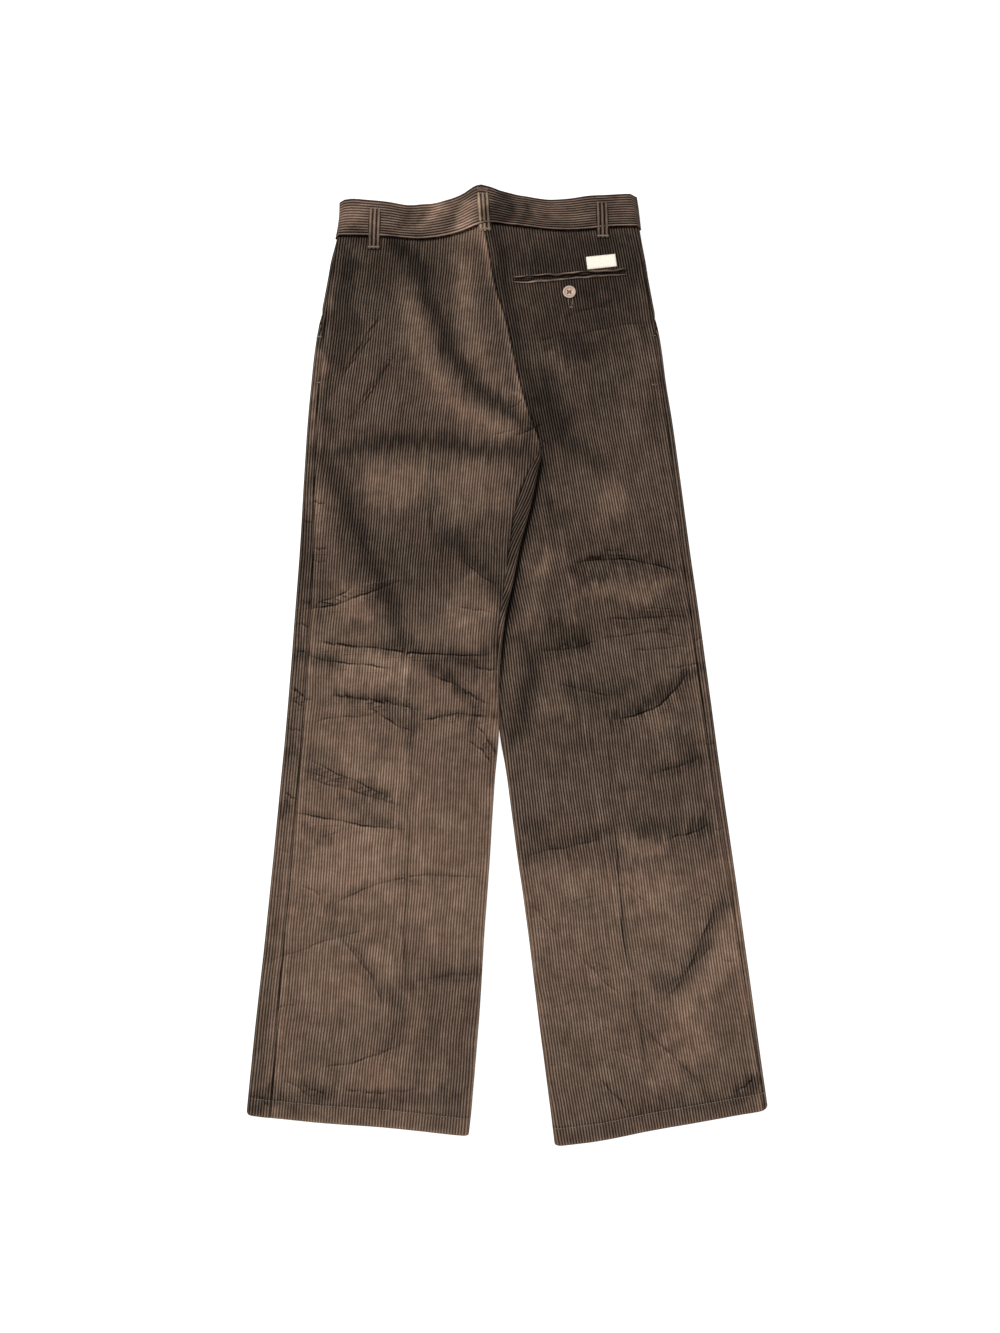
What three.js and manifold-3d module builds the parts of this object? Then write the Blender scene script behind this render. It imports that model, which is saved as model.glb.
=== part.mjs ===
// Corduroy trousers laid flat with the back side up and the waist towards +Y.
// Millimetres, +Z up. The origin lies on the surface under them, below the middle of their outline.
import * as THREE from "three";
import { mergeVertices } from "three/addons/utils/BufferGeometryUtils.js";
import Module from "manifold-3d";

const wasm = await Module();
wasm.setup();

// Driving dimensions.
const clothWall = 1.6;
const hemWall = 2.4;
const bandWall = 2.6;
const seamGap = 0.3;
const lowestInside = 4.2;
const lowestAtEdge = 5.4;
const hemDepth = 18.5;
const hemRamp = 58.6;
const bandDepth = 44;
const hemY = -535;
const waistY = 503;
const crotchY = 233;
const frontDip = 20;
const frontHalfWidth = 185;
const shoulder = 7;
const shoulderPath = 9;
const legEdgeRadius = 2;
const hemEdgeRadius = 2.8;
const hipEdgeRadius = 4.9;
const legOverlapLift = 7.2;
const liftEnds = { low: -165, full: -112 };
const pocketMouthY = 367;
const pocketMouthIn = 38;
const facingInset = 2.3;
const facingUnderlap = 12;
const loopWidth = 15;
const loopWall = 1.8;
const loopLength = 58;
const frontLoopLift = 2.2;
const frontLoopLow = 468;
const frontLoopRamp = 21;
const bandProud = 0.7;
const loopBulge = 1.9;
const weltWidth = 4.2;
const weltWall = 1.5;
const weltCrown = 0.3;
const buttonDiameter = 18;
const labelSize = { width: 36, height: 16, wall: 0.8 };

// Shape of the top face away from its folds. Heights in y are where an effect starts and is full.
const crown = { height: 0.9, reach: 90, start: 250, full: 100 };
const underBand = { start: 462, full: 492, calm: 0.85 };
const centreRise = { x: -29, height: 3.2, reach: 26, start: 455, full: 540 };
const pressedUnder = { top: 232, topFull: 205, low: -150, lowFull: -100, start: 30, full: 16 };
const overCrotch = { start: 250, full: 222, edgeStart: 15, edgeFull: 5 };
const edgeBand = { start: 18, full: 8 };
const liftShare = { top: 0.8, least: 0.9 };
const hipRamp = { start: 300, full: 350 };
const foldSharpY = 203;
const hemBendY = -250;
const waistBendY = 400;
const topTurn = 5;

// Rows of numbers read as objects with named columns.
function named(names, rows) {
  const keys = names.split(" ");
  return rows.map((row) => Object.fromEntries(keys.map((key, i) => [key, row[i]])));
}

// Outer edge and side seam of each half, by height.
const outerLines = {
  left: named("y edge seam", [
    [546, -205, -205],
    [500, -208.5, -208],
    [467, -215.5, -212],
    [418, -223.5, -218],
    [367, -231.5, -222],
    [316, -236.5, -226],
    [266, -240, -228],
    [192, -243, -229],
    [119, -245.5, -229],
    [47, -249, -230],
    [-93, -256.5, -236.5],
    [-185, -263, -241.5],
    [-275, -269.5, -247],
    [-363, -276.5, -253.5],
    [-450, -284, -258],
    [-535, -290, -262],
  ]),
  right: named("y edge seam", [
    [552, 158.5, 158.5],
    [500, 165, 163.5],
    [469, 170, 167],
    [418, 178, 173],
    [367, 186.5, 180],
    [316, 192.5, 186],
    [266, 199.5, 191.5],
    [192, 208, 199],
    [119, 216, 205.5],
    [47, 224.5, 214],
    [-47, 235, 224],
    [-139, 245, 234.5],
    [-275, 261, 252],
    [-406, 276, 269.5],
    [-535, 290.5, 286],
  ]),
};

// Inner fold of each leg below the crotch, and how far the inseam lies in from it on the top face.
const innerLines = {
  left: named("y fold inseamIn", [
    [233, 41.8, 2.5],
    [220, 40.5, 6],
    [205, 37.5, 11],
    [165, 29.5, 17.5],
    [113, 16, 13],
    [65, 6.5, 9.5],
    [20, -3, 6],
    [-40, -8.5, 3],
    [-111, -9.2, 1.2],
    [-162, -14, 0.8],
    [-252, -19.5, 0.8],
    [-341, -26, 0.8],
    [-428, -31.5, 0.8],
    [-513, -38.5, 0.8],
    [-560, -43.5, 0.8],
  ]),
  right: named("y fold inseamIn", [
    [233, 42.3, 1.5],
    [224, 42.6, 1.5],
    [213, 40.4, 1.5],
    [203, 33.5, 1.5],
    [165, 19, 1.5],
    [95, -1, 1.5],
    [47, -11, 1.5],
    [0, -16.5, 1.5],
    [-50, -14.5, 1.5],
    [-111, -8.2, 1.2],
    [-162, 0, 0.8],
    [-252, 12, 0.8],
    [-341, 24.5, 0.8],
    [-428, 35, 0.8],
    [-513, 46, 0.8],
    [-563, 52, 0.8],
  ]),
};

// Centre back seam on the top face and centre front seam on the underside.
const centreLines = named("y back front", [
  [560, -36, -30],
  [514, -28, -27],
  [495, -24, -25],
  [431, -12, -12],
  [399, -2, -3],
  [354, 8, 8],
  [316, 16, 17],
  [273, 28, 29],
  [252, 36, 36.5],
  [233, 41, 41],
]);

// Lower and upper edges of the waistband's back.
const bandEdges = named("x lower upper", [
  [-210, 499, 540],
  [-195, 499, 546.2],
  [-170, 498.5, 545],
  [-146, 497.5, 542.5],
  [-121, 495, 538.2],
  [-106, 494.3, 539],
  [-84, 496.5, 541.6],
  [-57, 503, 550.5],
  [-35, 511.5, 563],
  [-20, 514.3, 560.4],
  [-8, 513.8, 556.2],
  [29, 509.8, 548.5],
  [51, 507, 545.4],
  [76, 506, 546.6],
  [100, 507.3, 550.4],
  [125, 510.2, 551.7],
  [150, 511, 553],
  [160, 511, 551.5],
]);

// Hem line of each leg.
const hemLines = {
  left: named("x y", [
    [-292, -527],
    [-286, -531],
    [-248, -535],
    [-204, -539],
    [-145, -543],
    [-103, -547],
    [-61, -551.6],
    [-43, -553],
  ]),
  right: named("x y", [
    [48, -563],
    [60, -563],
    [85, -560],
    [113, -556],
    [156, -547.5],
    [209, -538.7],
    [257, -530.5],
    [283, -526],
    [291, -521],
  ]),
};

// Height of the top face over the surface below, before folds.
const puff = named("y height", [
  [-560, 8],
  [-500, 7.6],
  [-430, 6.9],
  [-200, 6.8],
  [60, 7],
  [200, 8.2],
  [260, 10],
  [400, 10.4],
  [500, 10],
  [560, 9.4],
]);

// Soft ridges (height above 0) and troughs (below 0) of the top face. Each runs from one point to
// the other, bowed sideways by sag; skew above 0 makes the side on its left steeper.
const folds = named("x0 y0 x1 y1 sag width height skew", [
  [-205, 256, 24, 252, 4, 24, 4.6, -0.4],
  [-92, 446, 20, 278, -12, 17, 4.6, -0.35],
  [-122, 430, -14, 255, -12, 13, -2.6, 0],
  [-149, 412, -204, 322, 6, 9, -1.6, 0],
  [-129, 368, -197, 258, 8, 9, -1.6, 0],
  [-226, 232, -150, 8, -12, 24, 3.0, 0.3],
  [-168, 205, -120, 40, -8, 20, -1.8, 0],
  [-92, 146, -12, 82, 6, 17, 2.6, -0.3],
  [-72, 108, -10, 44, 5, 13, -1.8, 0],
  [-246, 34, -118, 70, -8, 9, -1.6, 0],
  [-236, 2, -10, -20, 5, 10, -2.0, 0],
  [-230, 16, -20, -4, 5, 12, 1.6, 0],
  [-95, -36, -18, -76, 3, 9, -1.6, 0],
  [-252, -56, -106, -108, -7, 10, -2.0, 0],
  [-104, -94, -16, -88, 3, 10, -1.8, 0],
  [-60, -112, -16, -146, 3, 9, -1.6, 0],
  [-238, -132, -118, -190, -4, 13, -1.5, 0],
  [-260, -198, -110, -222, -5, 13, -2.0, 0],
  [-250, -182, -130, -206, -5, 13, 1.5, 0],
  [-212, -308, -20, -276, 14, 11, -1.6, 0],
  [-194, -330, -134, -420, 5, 18, 2.0, -0.3],
  [-276, -368, -146, -326, 3, 10, -1.3, 0],
  [-214, -484, -114, -454, -3, 11, -1.5, 0],
  [-112, 110, -140, -500, -3, 8, 1.2, 0],
  [30, 372, 92, 392, 3, 11, -1.3, 0],
  [68, 366, 186, 392, 5, 11, -1.2, 0],
  [60, 268, 112, 206, 4, 18, 1.8, 0.3],
  [70, 90, 212, 80, 13, 11, -2.0, 0],
  [74, 74, 206, 64, 12, 12, 1.3, 0],
  [34, -14, 84, 2, -3, 12, -2.0, 0],
  [112, -94, 216, -32, -15, 12, -3.4, 0.2],
  [128, -112, 224, -58, -12, 14, 2.0, 0],
  [40, -44, 142, -66, -4, 14, -1.4, 0],
  [34, -30, 8, -98, 5, 13, -1.8, 0],
  [30, 92, 8, -26, 3, 10, 2.4, 0],
  [16, -250, 120, -228, 3, 13, -2.4, 0],
  [22, -232, 122, -212, 3, 13, 1.6, 0],
  [180, -232, 238, -210, 3, 12, -2.6, 0],
  [240, -290, 174, -412, 8, 18, 2.0, 0.3],
  [68, -344, 138, -410, 0, 11, -1.3, 0],
  [138, -420, 226, -506, -3, 11, -1.5, 0],
  [48, 200, 152, -500, 3, 8, 1.2, 0],
]);

const clamp01 = (q) => Math.min(Math.max(q, 0), 1);
const lerp = (a, b, q) => a + (b - a) * q;

// Cubic step from 0 at a to 1 at b; a may lie above b.
function ease(a, b, q) {
  const t = clamp01((q - a) / (b - a));
  return t * t * (3 - 2 * t);
}

// A smooth curve through two columns of a table, carried on straight past its ends.
function curveThrough(rows, from, to) {
  const points = [...rows].sort((a, b) => a[from] - b[from]);
  const at = points.map((point) => point[from]);
  const value = points.map((point) => point[to]);
  const last = at.length - 1;
  const slope = at.map((_, i) => {
    const before = Math.max(i - 1, 0);
    const after = Math.min(i + 1, last);
    return (value[after] - value[before]) / (at[after] - at[before]);
  });
  return (q) => {
    if (q <= at[0]) return value[0] + slope[0] * (q - at[0]);
    if (q >= at[last]) return value[last] + slope[last] * (q - at[last]);
    let i = 0;
    while (q > at[i + 1]) i += 1;
    const span = at[i + 1] - at[i];
    const t = (q - at[i]) / span;
    const rise = value[i + 1] - value[i];
    const bendIn = slope[i] * span - rise;
    const bendOut = rise - slope[i + 1] * span;
    return value[i] + rise * t + t * (1 - t) * (bendIn * (1 - t) + bendOut * t);
  };
}

const centreBack = curveThrough(centreLines, "y", "back");
const centreFront = curveThrough(centreLines, "y", "front");
const bandLower = curveThrough(bandEdges, "x", "lower");
const bandUpper = curveThrough(bandEdges, "x", "upper");
const puffAt = curveThrough(puff, "y", "height");

// The two halves; out is the direction from the middle to the outer edge along X.
const halves = ["left", "right"].map((name) => ({
  name,
  out: name === "left" ? -1 : 1,
  edge: curveThrough(outerLines[name], "y", "edge"),
  seam: curveThrough(outerLines[name], "y", "seam"),
  fold: curveThrough(innerLines[name], "y", "fold"),
  inseamIn: curveThrough(innerLines[name], "y", "inseamIn"),
  hem: curveThrough(hemLines[name], "x", "y"),
}));
const rightHalf = halves[1];

// Height that one fold adds at a point: a bell across it that fades towards both ends.
function foldHeight(fold, x, y) {
  const dx = fold.x1 - fold.x0;
  const dy = fold.y1 - fold.y0;
  const length = Math.hypot(dx, dy);
  const along = ((x - fold.x0) * dx + (y - fold.y0) * dy) / (length * length);
  const side = ((y - fold.y0) * dx - (x - fold.x0) * dy) / length;
  const middle = 2 * along - 1;
  const bow = fold.sag * (1 - middle * middle);
  const across = side - bow;
  const reach = fold.width * (across > 0 ? 1 - fold.skew : 1 + fold.skew);
  const fade = ease(1.12, 0.6, Math.abs(middle));
  return fold.height * fade * Math.exp(-((across / reach) ** 2));
}

// How high the underside is lifted: over the other leg's inner edge, and by the front belt loops that the
// stiff band lies on.
function liftUnder(half, x, y) {
  let lift = 0;
  if (half.name === "left") {
    const edge = rightHalf.fold(Math.min(y, crotchY));
    const heights = ease(overCrotch.start, overCrotch.full, y) * ease(liftEnds.low, liftEnds.full, y);
    lift = legOverlapLift * heights * ease(edge - overCrotch.edgeStart, edge - overCrotch.edgeFull, x);
  }
  return lift + frontLoopLift * ease(frontLoopLow - 1 - frontLoopRamp, frontLoopLow - 1, y);
}

// Height of the top face, away from the folded edges.
function topHeight(half, x, y) {
  const bell = (from, reach) => Math.exp(-(((x - from) / reach) ** 2));
  const legMiddle = (half.edge(y) + half.fold(y)) / 2;
  const lift = liftUnder(half, x, y);
  let height = puffAt(y) + liftShare.top * lift;
  height += crown.height * bell(legMiddle, crown.reach) * ease(crown.start, crown.full, y);
  height += centreRise.height * bell(centreRise.x, centreRise.reach) * ease(centreRise.start, centreRise.full, y);
  const calm = 1 - underBand.calm * ease(underBand.start, underBand.full, y);
  for (const fold of folds) height += calm * foldHeight(fold, x, y);
  if (half.name === "right") {
    const { top, topFull, low, lowFull, start, full } = pressedUnder;
    const fold = half.fold(Math.min(y, crotchY));
    const share = ease(top, topFull, y) * ease(low, lowFull, y) * ease(fold + start, fold + full, x);
    height = lerp(height, lowestAtEdge, share);
  }
  const fromInner = y < crotchY ? Math.abs(x - half.fold(y)) : edgeBand.start;
  const nearEdge = ease(edgeBand.start, edgeBand.full, Math.min(fromInner, Math.abs(x - half.edge(y))));
  return Math.max(height, lerp(lowestInside, lowestAtEdge, nearEdge) + liftShare.least * lift);
}

// Radius of the lower side of a folded edge: largest beside the waist, where the stiff band stands off.
function edgeRadius(y) {
  if (y > 0) return lerp(legEdgeRadius, hipEdgeRadius, ease(hipRamp.start, hipRamp.full, y));
  return lerp(legEdgeRadius, hemEdgeRadius, ease(hemY + hemDepth + hemRamp, hemY + hemDepth, y));
}

const wallAt = (half, x, y) => lerp(clothWall, hemWall, ease(hemDepth + 2, hemDepth - 1, y - half.hem(x)));

// Path length over the rounded shoulder for a distance in from the edge, and back.
const pathIn = (d) =>
  d < shoulder ? (shoulderPath * 2 * Math.acos(1 - d / shoulder)) / Math.PI : shoulderPath + d - shoulder;

// A point of the outer surface by its path from a folded edge: below 0 over the top, above 0 under.
function aroundEdge(half, edgeX, outward, path, y, sharp = 1) {
  const radius = edgeRadius(y);
  const underPath = (radius * Math.PI) / 2;
  const turn = path < 0 ? clamp01(-path / shoulderPath) : clamp01(path / underPath);
  const angle = (turn * Math.PI) / 2;
  const round = path < 0 ? shoulder : radius;
  const past = Math.abs(path) - (path < 0 ? shoulderPath : underPath);
  const d = round * (1 - Math.cos(angle)) + Math.max(past, 0);
  const x = edgeX - outward * d;
  const low = liftUnder(half, x, y);
  if (path >= 0) return new THREE.Vector3(x, y, low + radius * (1 - Math.sin(angle)));
  const share = 1 - sharp * (1 - Math.sin(angle));
  const edgeLow = liftUnder(half, edgeX, y);
  return new THREE.Vector3(x, y, lerp(edgeLow + radius, topHeight(half, x, y), share));
}

// The right half's inner edge runs level into the crotch, and is a full fold from foldSharpY down.
const foldSharp = (half, y) => (half.name === "left" ? 1 : ease(crotchY, foldSharpY, y));

// Columns of a back panel lie close together at both ends and evenly between them.
const endColumns = [0, 1.6, 3.6, 6.2, 9.5, 15];
const evenColumns = 14;
const backColumns = evenColumns + 2 * (endColumns.length - 1);
function crowded(from, to, share) {
  const ends = endColumns.length - 1;
  const column = share * backColumns;
  const inEnd = (c) => {
    const i = Math.min(Math.max(Math.floor(c), 0), ends - 1);
    return lerp(endColumns[i], endColumns[i + 1], c - i);
  };
  if (column < ends) return from + inEnd(column);
  if (column > backColumns - ends) return to - inEnd(backColumns - column);
  return lerp(from + endColumns[ends], to - endColumns[ends], (column - ends) / evenColumns);
}

// Back panel: share 0 at the side seam, 1 at the centre back seam or the inseam.
function backPoint(half, share, y) {
  const edge = half.edge(y);
  const start = pathIn(Math.abs(half.seam(y) - edge)) + seamGap / 2;
  if (y >= crotchY) {
    const across = Math.abs(centreBack(y) - edge) - seamGap / 2;
    const path = crowded(start, across - shoulder + shoulderPath, share);
    return aroundEdge(half, edge, half.out, -path, y);
  }
  const fold = half.fold(y);
  const total = Math.abs(fold - edge) + 2 * (shoulderPath - shoulder);
  const path = crowded(start, total - pathIn(half.inseamIn(y)) - seamGap / 2, share);
  if (path < total / 2) return aroundEdge(half, edge, half.out, -path, y);
  return aroundEdge(half, fold, -half.out, path - total, y, foldSharp(half, y));
}

// How far in from the outer fold the front panel starts: at the side seam, or at the pocket mouth.
function frontStart(half, y) {
  const seamPath = -pathIn(Math.abs(half.seam(y) - half.edge(y)));
  if (y < pocketMouthY) return seamPath;
  const first = -pathIn(Math.abs(half.seam(pocketMouthY) - half.edge(pocketMouthY)));
  return lerp(first, pocketMouthIn, (y - pocketMouthY) / (waistY - pocketMouthY));
}

// Front panel: share 0 at the side seam or pocket mouth, 1 at the centre front seam or the inseam.
// Its first columns turn round the outer edge, the next lie flat, and the last turn round the inner fold.
const frontCells = { outer: 6, flat: 3, inner: 5 };
const frontColumns = frontCells.outer + frontCells.flat + frontCells.inner;
const rampFromFold = { start: 31, end: 17 };
function frontPoint(half, share, y) {
  const edge = half.edge(y);
  const start = frontStart(half, y) + seamGap / 2;
  const turned = topTurn + (edgeRadius(y) * Math.PI) / 2;
  const open = y >= crotchY;
  const far = open ? centreFront(y) : half.fold(y);
  const width = Math.abs(far - edge) - (open ? seamGap / 2 : 0);
  const column = share * frontColumns;
  const flatColumn = column - frontCells.outer;
  const lastColumn = flatColumn - frontCells.flat;
  const outerEnd = Math.max(turned, start + turned);
  if (flatColumn < 0) return aroundEdge(half, edge, half.out, lerp(start, outerEnd, column / frontCells.outer), y);
  if (lastColumn > 0 && !open) {
    const path = lerp(turned, seamGap / 2 - pathIn(half.inseamIn(y)), lastColumn / frontCells.inner);
    return aroundEdge(half, far, -half.out, path, y, foldSharp(half, y));
  }
  const stops = [outerEnd, width - rampFromFold.start, width - rampFromFold.end, width - turned];
  const i = Math.min(Math.floor(flatColumn), frontCells.flat - 1);
  const flat = lerp(stops[i], stops[i + 1], flatColumn - i);
  const x = edge - half.out * (lastColumn > 0 ? lerp(width - turned, width, lastColumn / frontCells.inner) : flat);
  return new THREE.Vector3(x, y, liftUnder(half, x, y));
}

// Piece behind the slanted pocket mouth: from the side seam round the edge to inside the front panel,
// sunk below the surface where the front panel covers it.
function facingPoint(half, share, y) {
  const edge = half.edge(y);
  const start = -pathIn(Math.abs(half.seam(y) - edge)) + 1.5 * seamGap;
  const mouth = frontStart(half, y);
  const path = lerp(start, Math.max(mouth, start) + facingUnderlap, share);
  const inside = facingInset * ease(mouth - 6, mouth - 0.6, path);
  const here = aroundEdge(half, edge, half.out, path, y);
  const run = aroundEdge(half, edge, half.out, path + 0.2, y).sub(here).normalize();
  return here.addScaledVector(new THREE.Vector3(run.z * half.out, 0, -run.x * half.out), inside);
}

// How far the front of the waist lies below its sides.
const dipAt = (half, x) => (frontDip * Math.abs(x - half.edge(waistY))) / frontHalfWidth;

// Height of a row at x: rows bend to the hem line at the bottom and to the band's seam at the top.
function rowY(half, x, y, front) {
  const hemShare = clamp01((hemBendY - y) / (hemBendY - hemY));
  const waistShare = clamp01((y - waistBendY) / (waistY - waistBendY));
  const waist = front ? bandLower(half.edge(waistY)) - dipAt(half, x) : bandLower(x);
  return y + hemShare * (half.hem(x) - hemY) + waistShare * (waist - waistY);
}

// Follows a row: the point at a share across it, at the height that the bent row has there.
function onRow(half, pointAt, share, y, front) {
  let point = pointAt(half, share, y);
  for (let pass = 0; pass < 2; pass += 1) point = pointAt(half, share, rowY(half, point.x, y, front));
  return point;
}

// Closes an outer surface into a wall, thickened along the surface's own normals. pointAt gives a point
// for a share and a height; inwards is the sign that turns the cross product of the two ways inwards.
function wallOf(pointAt, shareList, heights, inwards, wall) {
  const outer = [];
  const inner = [];
  const step = 1e-3;
  for (const y of heights) {
    const up = y >= crotchY ? 0.2 : -0.2;
    const row = shareList.map((share) => pointAt(share, y));
    outer.push(row);
    inner.push(
      row.map((point, j) => {
        const across = pointAt(shareList[j] + step, y).sub(pointAt(shareList[j] - step, y));
        const along = pointAt(shareList[j], y + up).sub(point).multiplyScalar(Math.sign(up));
        const normal = across.cross(along).normalize().multiplyScalar(inwards);
        return point.clone().addScaledVector(normal, wall(point));
      }),
    );
  }
  return solidBetween(outer, inner);
}

// A closed surface between two grids of the same size, faces pointing out.
function solidBetween(outer, inner) {
  const rows = outer.length;
  const columns = outer[0].length;
  const positions = [...outer.flat(), ...inner.flat()].flatMap((point) => point.toArray());
  const index = [];
  const id = (layer, i, j) => layer * rows * columns + i * columns + j;
  const quad = (a, b, c, d) => index.push(a, b, c, a, c, d);
  for (let i = 0; i < rows - 1; i += 1) {
    for (let j = 0; j < columns - 1; j += 1) {
      quad(id(0, i, j), id(0, i, j + 1), id(0, i + 1, j + 1), id(0, i + 1, j));
      quad(id(1, i, j), id(1, i + 1, j), id(1, i + 1, j + 1), id(1, i, j + 1));
    }
    quad(id(0, i, 0), id(0, i + 1, 0), id(1, i + 1, 0), id(1, i, 0));
    const j = columns - 1;
    quad(id(0, i, j), id(1, i, j), id(1, i + 1, j), id(0, i + 1, j));
  }
  for (let j = 0; j < columns - 1; j += 1) {
    const i = rows - 1;
    quad(id(0, 0, j), id(1, 0, j), id(1, 0, j + 1), id(0, 0, j + 1));
    quad(id(0, i, j), id(0, i, j + 1), id(1, i, j + 1), id(1, i, j));
  }
  const geometry = new THREE.BufferGeometry();
  geometry.setAttribute("position", new THREE.Float32BufferAttribute(positions, 3));
  geometry.setIndex(index);
  if (signedVolume(geometry) < 0) {
    for (let i = 0; i < index.length; i += 3) [index[i], index[i + 1]] = [index[i + 1], index[i]];
    geometry.setIndex(index);
  }
  geometry.computeVertexNormals();
  return geometry;
}

function signedVolume(geometry) {
  const at = geometry.attributes.position;
  const corner = [0, 1, 2].map(() => new THREE.Vector3());
  let six = 0;
  for (let i = 0; i < geometry.index.count; i += 3) {
    corner.forEach((point, k) => point.fromBufferAttribute(at, geometry.index.getX(i + k)));
    six += corner[0].dot(corner[1].clone().cross(corner[2]));
  }
  return six / 6;
}

const shares = (count) => Array.from({ length: count + 1 }, (_, i) => i / count);

// Heights of the rows of a panel, closer together round the crotch and the hem. Rows lie at both ends
// of the stretch over which the left leg's inner fold lifts off the other leg.
function rowHeights(step, upper) {
  const legs = stepped(hemY + hemDepth, liftEnds.low, step);
  const thighs = stepped(liftEnds.full, 192, 26);
  return [hemY, ...legs, (liftEnds.low + liftEnds.full) / 2, ...thighs, foldSharpY, 213, 222, 228, crotchY, 239, 249, ...upper];
}

function stepped(from, to, step) {
  const count = Math.round((to - from) / step);
  return shares(count).map((share) => lerp(from, to, share));
}

const corduroy = new THREE.MeshStandardMaterial({ color: 0x5d4c40, roughness: 0.95, metalness: 0 });
const wornCorduroy = new THREE.MeshStandardMaterial({ color: 0x8a7460, roughness: 0.95, metalness: 0 });
const wovenLabel = new THREE.MeshStandardMaterial({ color: 0xeae6dc, roughness: 0.8, metalness: 0 });
const buttonResin = new THREE.MeshStandardMaterial({ color: 0xb4694a, roughness: 0.45, metalness: 0 });

const group = new THREE.Group();

function addMesh(name, geometry, material) {
  const mesh = new THREE.Mesh(geometry, material);
  mesh.name = name;
  group.add(mesh);
  return mesh;
}

// The four leg panels.
const waistRow = waistY - seamGap / 2;
for (const half of halves) {
  const wall = (point) => wallAt(half, point.x, point.y);
  const back = (share, y) => onRow(half, backPoint, share, y, false);
  const front = (share, y) => onRow(half, frontPoint, share, y, true);
  const backRows = rowHeights(30, stepped(262, waistRow, 26));
  const mouthRows = stepped(pocketMouthY, 407, 8);
  const frontRows = rowHeights(60, [262, 310, 352, ...mouthRows, 423, 445, frontLoopLow, waistRow]);
  const backWall = wallOf(back, shares(backColumns), backRows, half.out, wall);
  const frontWall = wallOf(front, shares(frontColumns), frontRows, -half.out, wall);
  addMesh("back_panel_" + half.name, backWall, corduroy);
  addMesh("front_panel_" + half.name, frontWall, corduroy);
}

// The piece behind each slanted side pocket's mouth.
for (const half of halves) {
  const heights = [...stepped(pocketMouthY - 2, 407, 8), 423, 445, frontLoopLow, waistY - 1.2];
  const facing = (share, y) => onRow(half, facingPoint, share, y, true);
  const geometry = wallOf(facing, shares(8), heights, -half.out, () => clothWall);
  addMesh("side_pocket_facing_" + half.name, geometry, corduroy);
}

// A half of the waistband: share 0 at the centre back, 1 at the centre front, over the side edge.
const bandColumns = { back: 16, edge: 5, front: 4 };
function bandPath(half, share, y) {
  const turn = (hipEdgeRadius * Math.PI) / 2;
  const over = Math.abs(centreBack(y) - half.edge(y)) - seamGap / 2 - shoulder + shoulderPath;
  const under = Math.abs(centreFront(y) - half.edge(y)) - seamGap / 2 - hipEdgeRadius + turn;
  const { back, edge, front } = bandColumns;
  const column = share * (back + edge + front);
  if (column < back) return -lerp(over, shoulderPath, column / back);
  if (column < back + edge) return lerp(-shoulderPath, turn, (column - back) / edge);
  return lerp(turn, under, (column - back - edge) / front);
}

function bandPoint(half, share, up) {
  const side = half.edge(waistY);
  let y = waistY + up * bandDepth;
  let path;
  let point;
  for (let pass = 0; pass < 4; pass += 1) {
    path = bandPath(half, share, y);
    point = aroundEdge(half, half.edge(y), half.out, path, y);
    const low = path < 0 ? bandLower(point.x) : bandLower(side) - dipAt(half, point.x);
    const high = path < 0 ? bandUpper(point.x) : bandUpper(side) - dipAt(half, point.x);
    y = lerp(low + seamGap / 2, high, up);
  }
  if (path < 0) point.z += bandProud * clamp01(-path / shoulderPath);
  return point;
}

for (const half of halves) {
  const band = (share, y) => bandPoint(half, share, (y - waistY) / bandDepth);
  const columns = shares(bandColumns.back + bandColumns.edge + bandColumns.front);
  const heights = shares(4).map((up) => waistY + up * bandDepth);
  addMesh("waistband_" + half.name, wallOf(band, columns, heights, -half.out, () => bandWall), corduroy);
}

// Height of the highest built surface under a point.
const ray = new THREE.Raycaster();
function surfaceAt(x, y) {
  ray.set(new THREE.Vector3(x, y, 100), new THREE.Vector3(0, 0, -1));
  const hit = ray.intersectObjects(carriers, false)[0];
  return hit ? hit.point.z : 0;
}
const carriers = group.children.filter((mesh) => /^(back_panel|waistband)/.test(mesh.name));
carriers.forEach((mesh) => mesh.updateMatrixWorld(true));

// Lays a strip on the built surface, clear of it within reach of each point. place gives x, y and the
// extra height for two shares.
const reach = { x: 1.5, y: 2.8 };
function laidStrip(columns, rows, wall, place) {
  const under = shares(rows).map((down) =>
    shares(columns).map((across) => {
      const { x, y, raise } = place(across, down);
      const near = [-1, 0, 1];
      const spread = near.flatMap((dx) => near.map((dy) => surfaceAt(x + reach.x * dx, y + reach.y * dy)));
      return new THREE.Vector3(x, y, Math.max(...spread) + seamGap + raise);
    }),
  );
  const over = under.map((row) => row.map((point) => point.clone().setZ(point.z + wall)));
  return solidBetween(over, under);
}

// Belt loops over the back of the band, each sewn down at both ends.
const backLoops = named("node topX topY lowX lowY", [
  ["belt_loop_back_left", -161, 543, -162.5, 482],
  ["belt_loop_back_centre", -30, 559.5, -26.5, 504.5],
  ["belt_loop_back_right", 116.5, 550.5, 117.5, 496.5],
]);
for (const loop of backLoops) {
  const geometry = laidStrip(2, 10, loopWall, (across, down) => ({
    x: lerp(loop.topX, loop.lowX, down) + (across - 0.5) * loopWidth,
    y: lerp(loop.topY, loop.lowY, down),
    raise: loopBulge * Math.sin(Math.PI * clamp01((down - 0.06) / 0.8)),
  }));
  addMesh(loop.node, geometry, loop.node.endsWith("centre") ? wornCorduroy : corduroy);
}

// Belt loops on the front of the band lie flat, between it and the surface.
const frontLoops = named("node x top", [
  ["belt_loop_front_left", -112, 527],
  ["belt_loop_front_right", 66, 537],
]);
for (const loop of frontLoops) {
  const heights = [loop.top - loopLength, loop.top];
  const row = (z) => (y) => [-0.5, 0.5].map((across) => new THREE.Vector3(loop.x + across * loopWidth, y, z));
  addMesh(loop.node, solidBetween(heights.map(row(loopWall)), heights.map(row(0))), corduroy);
}

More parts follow.
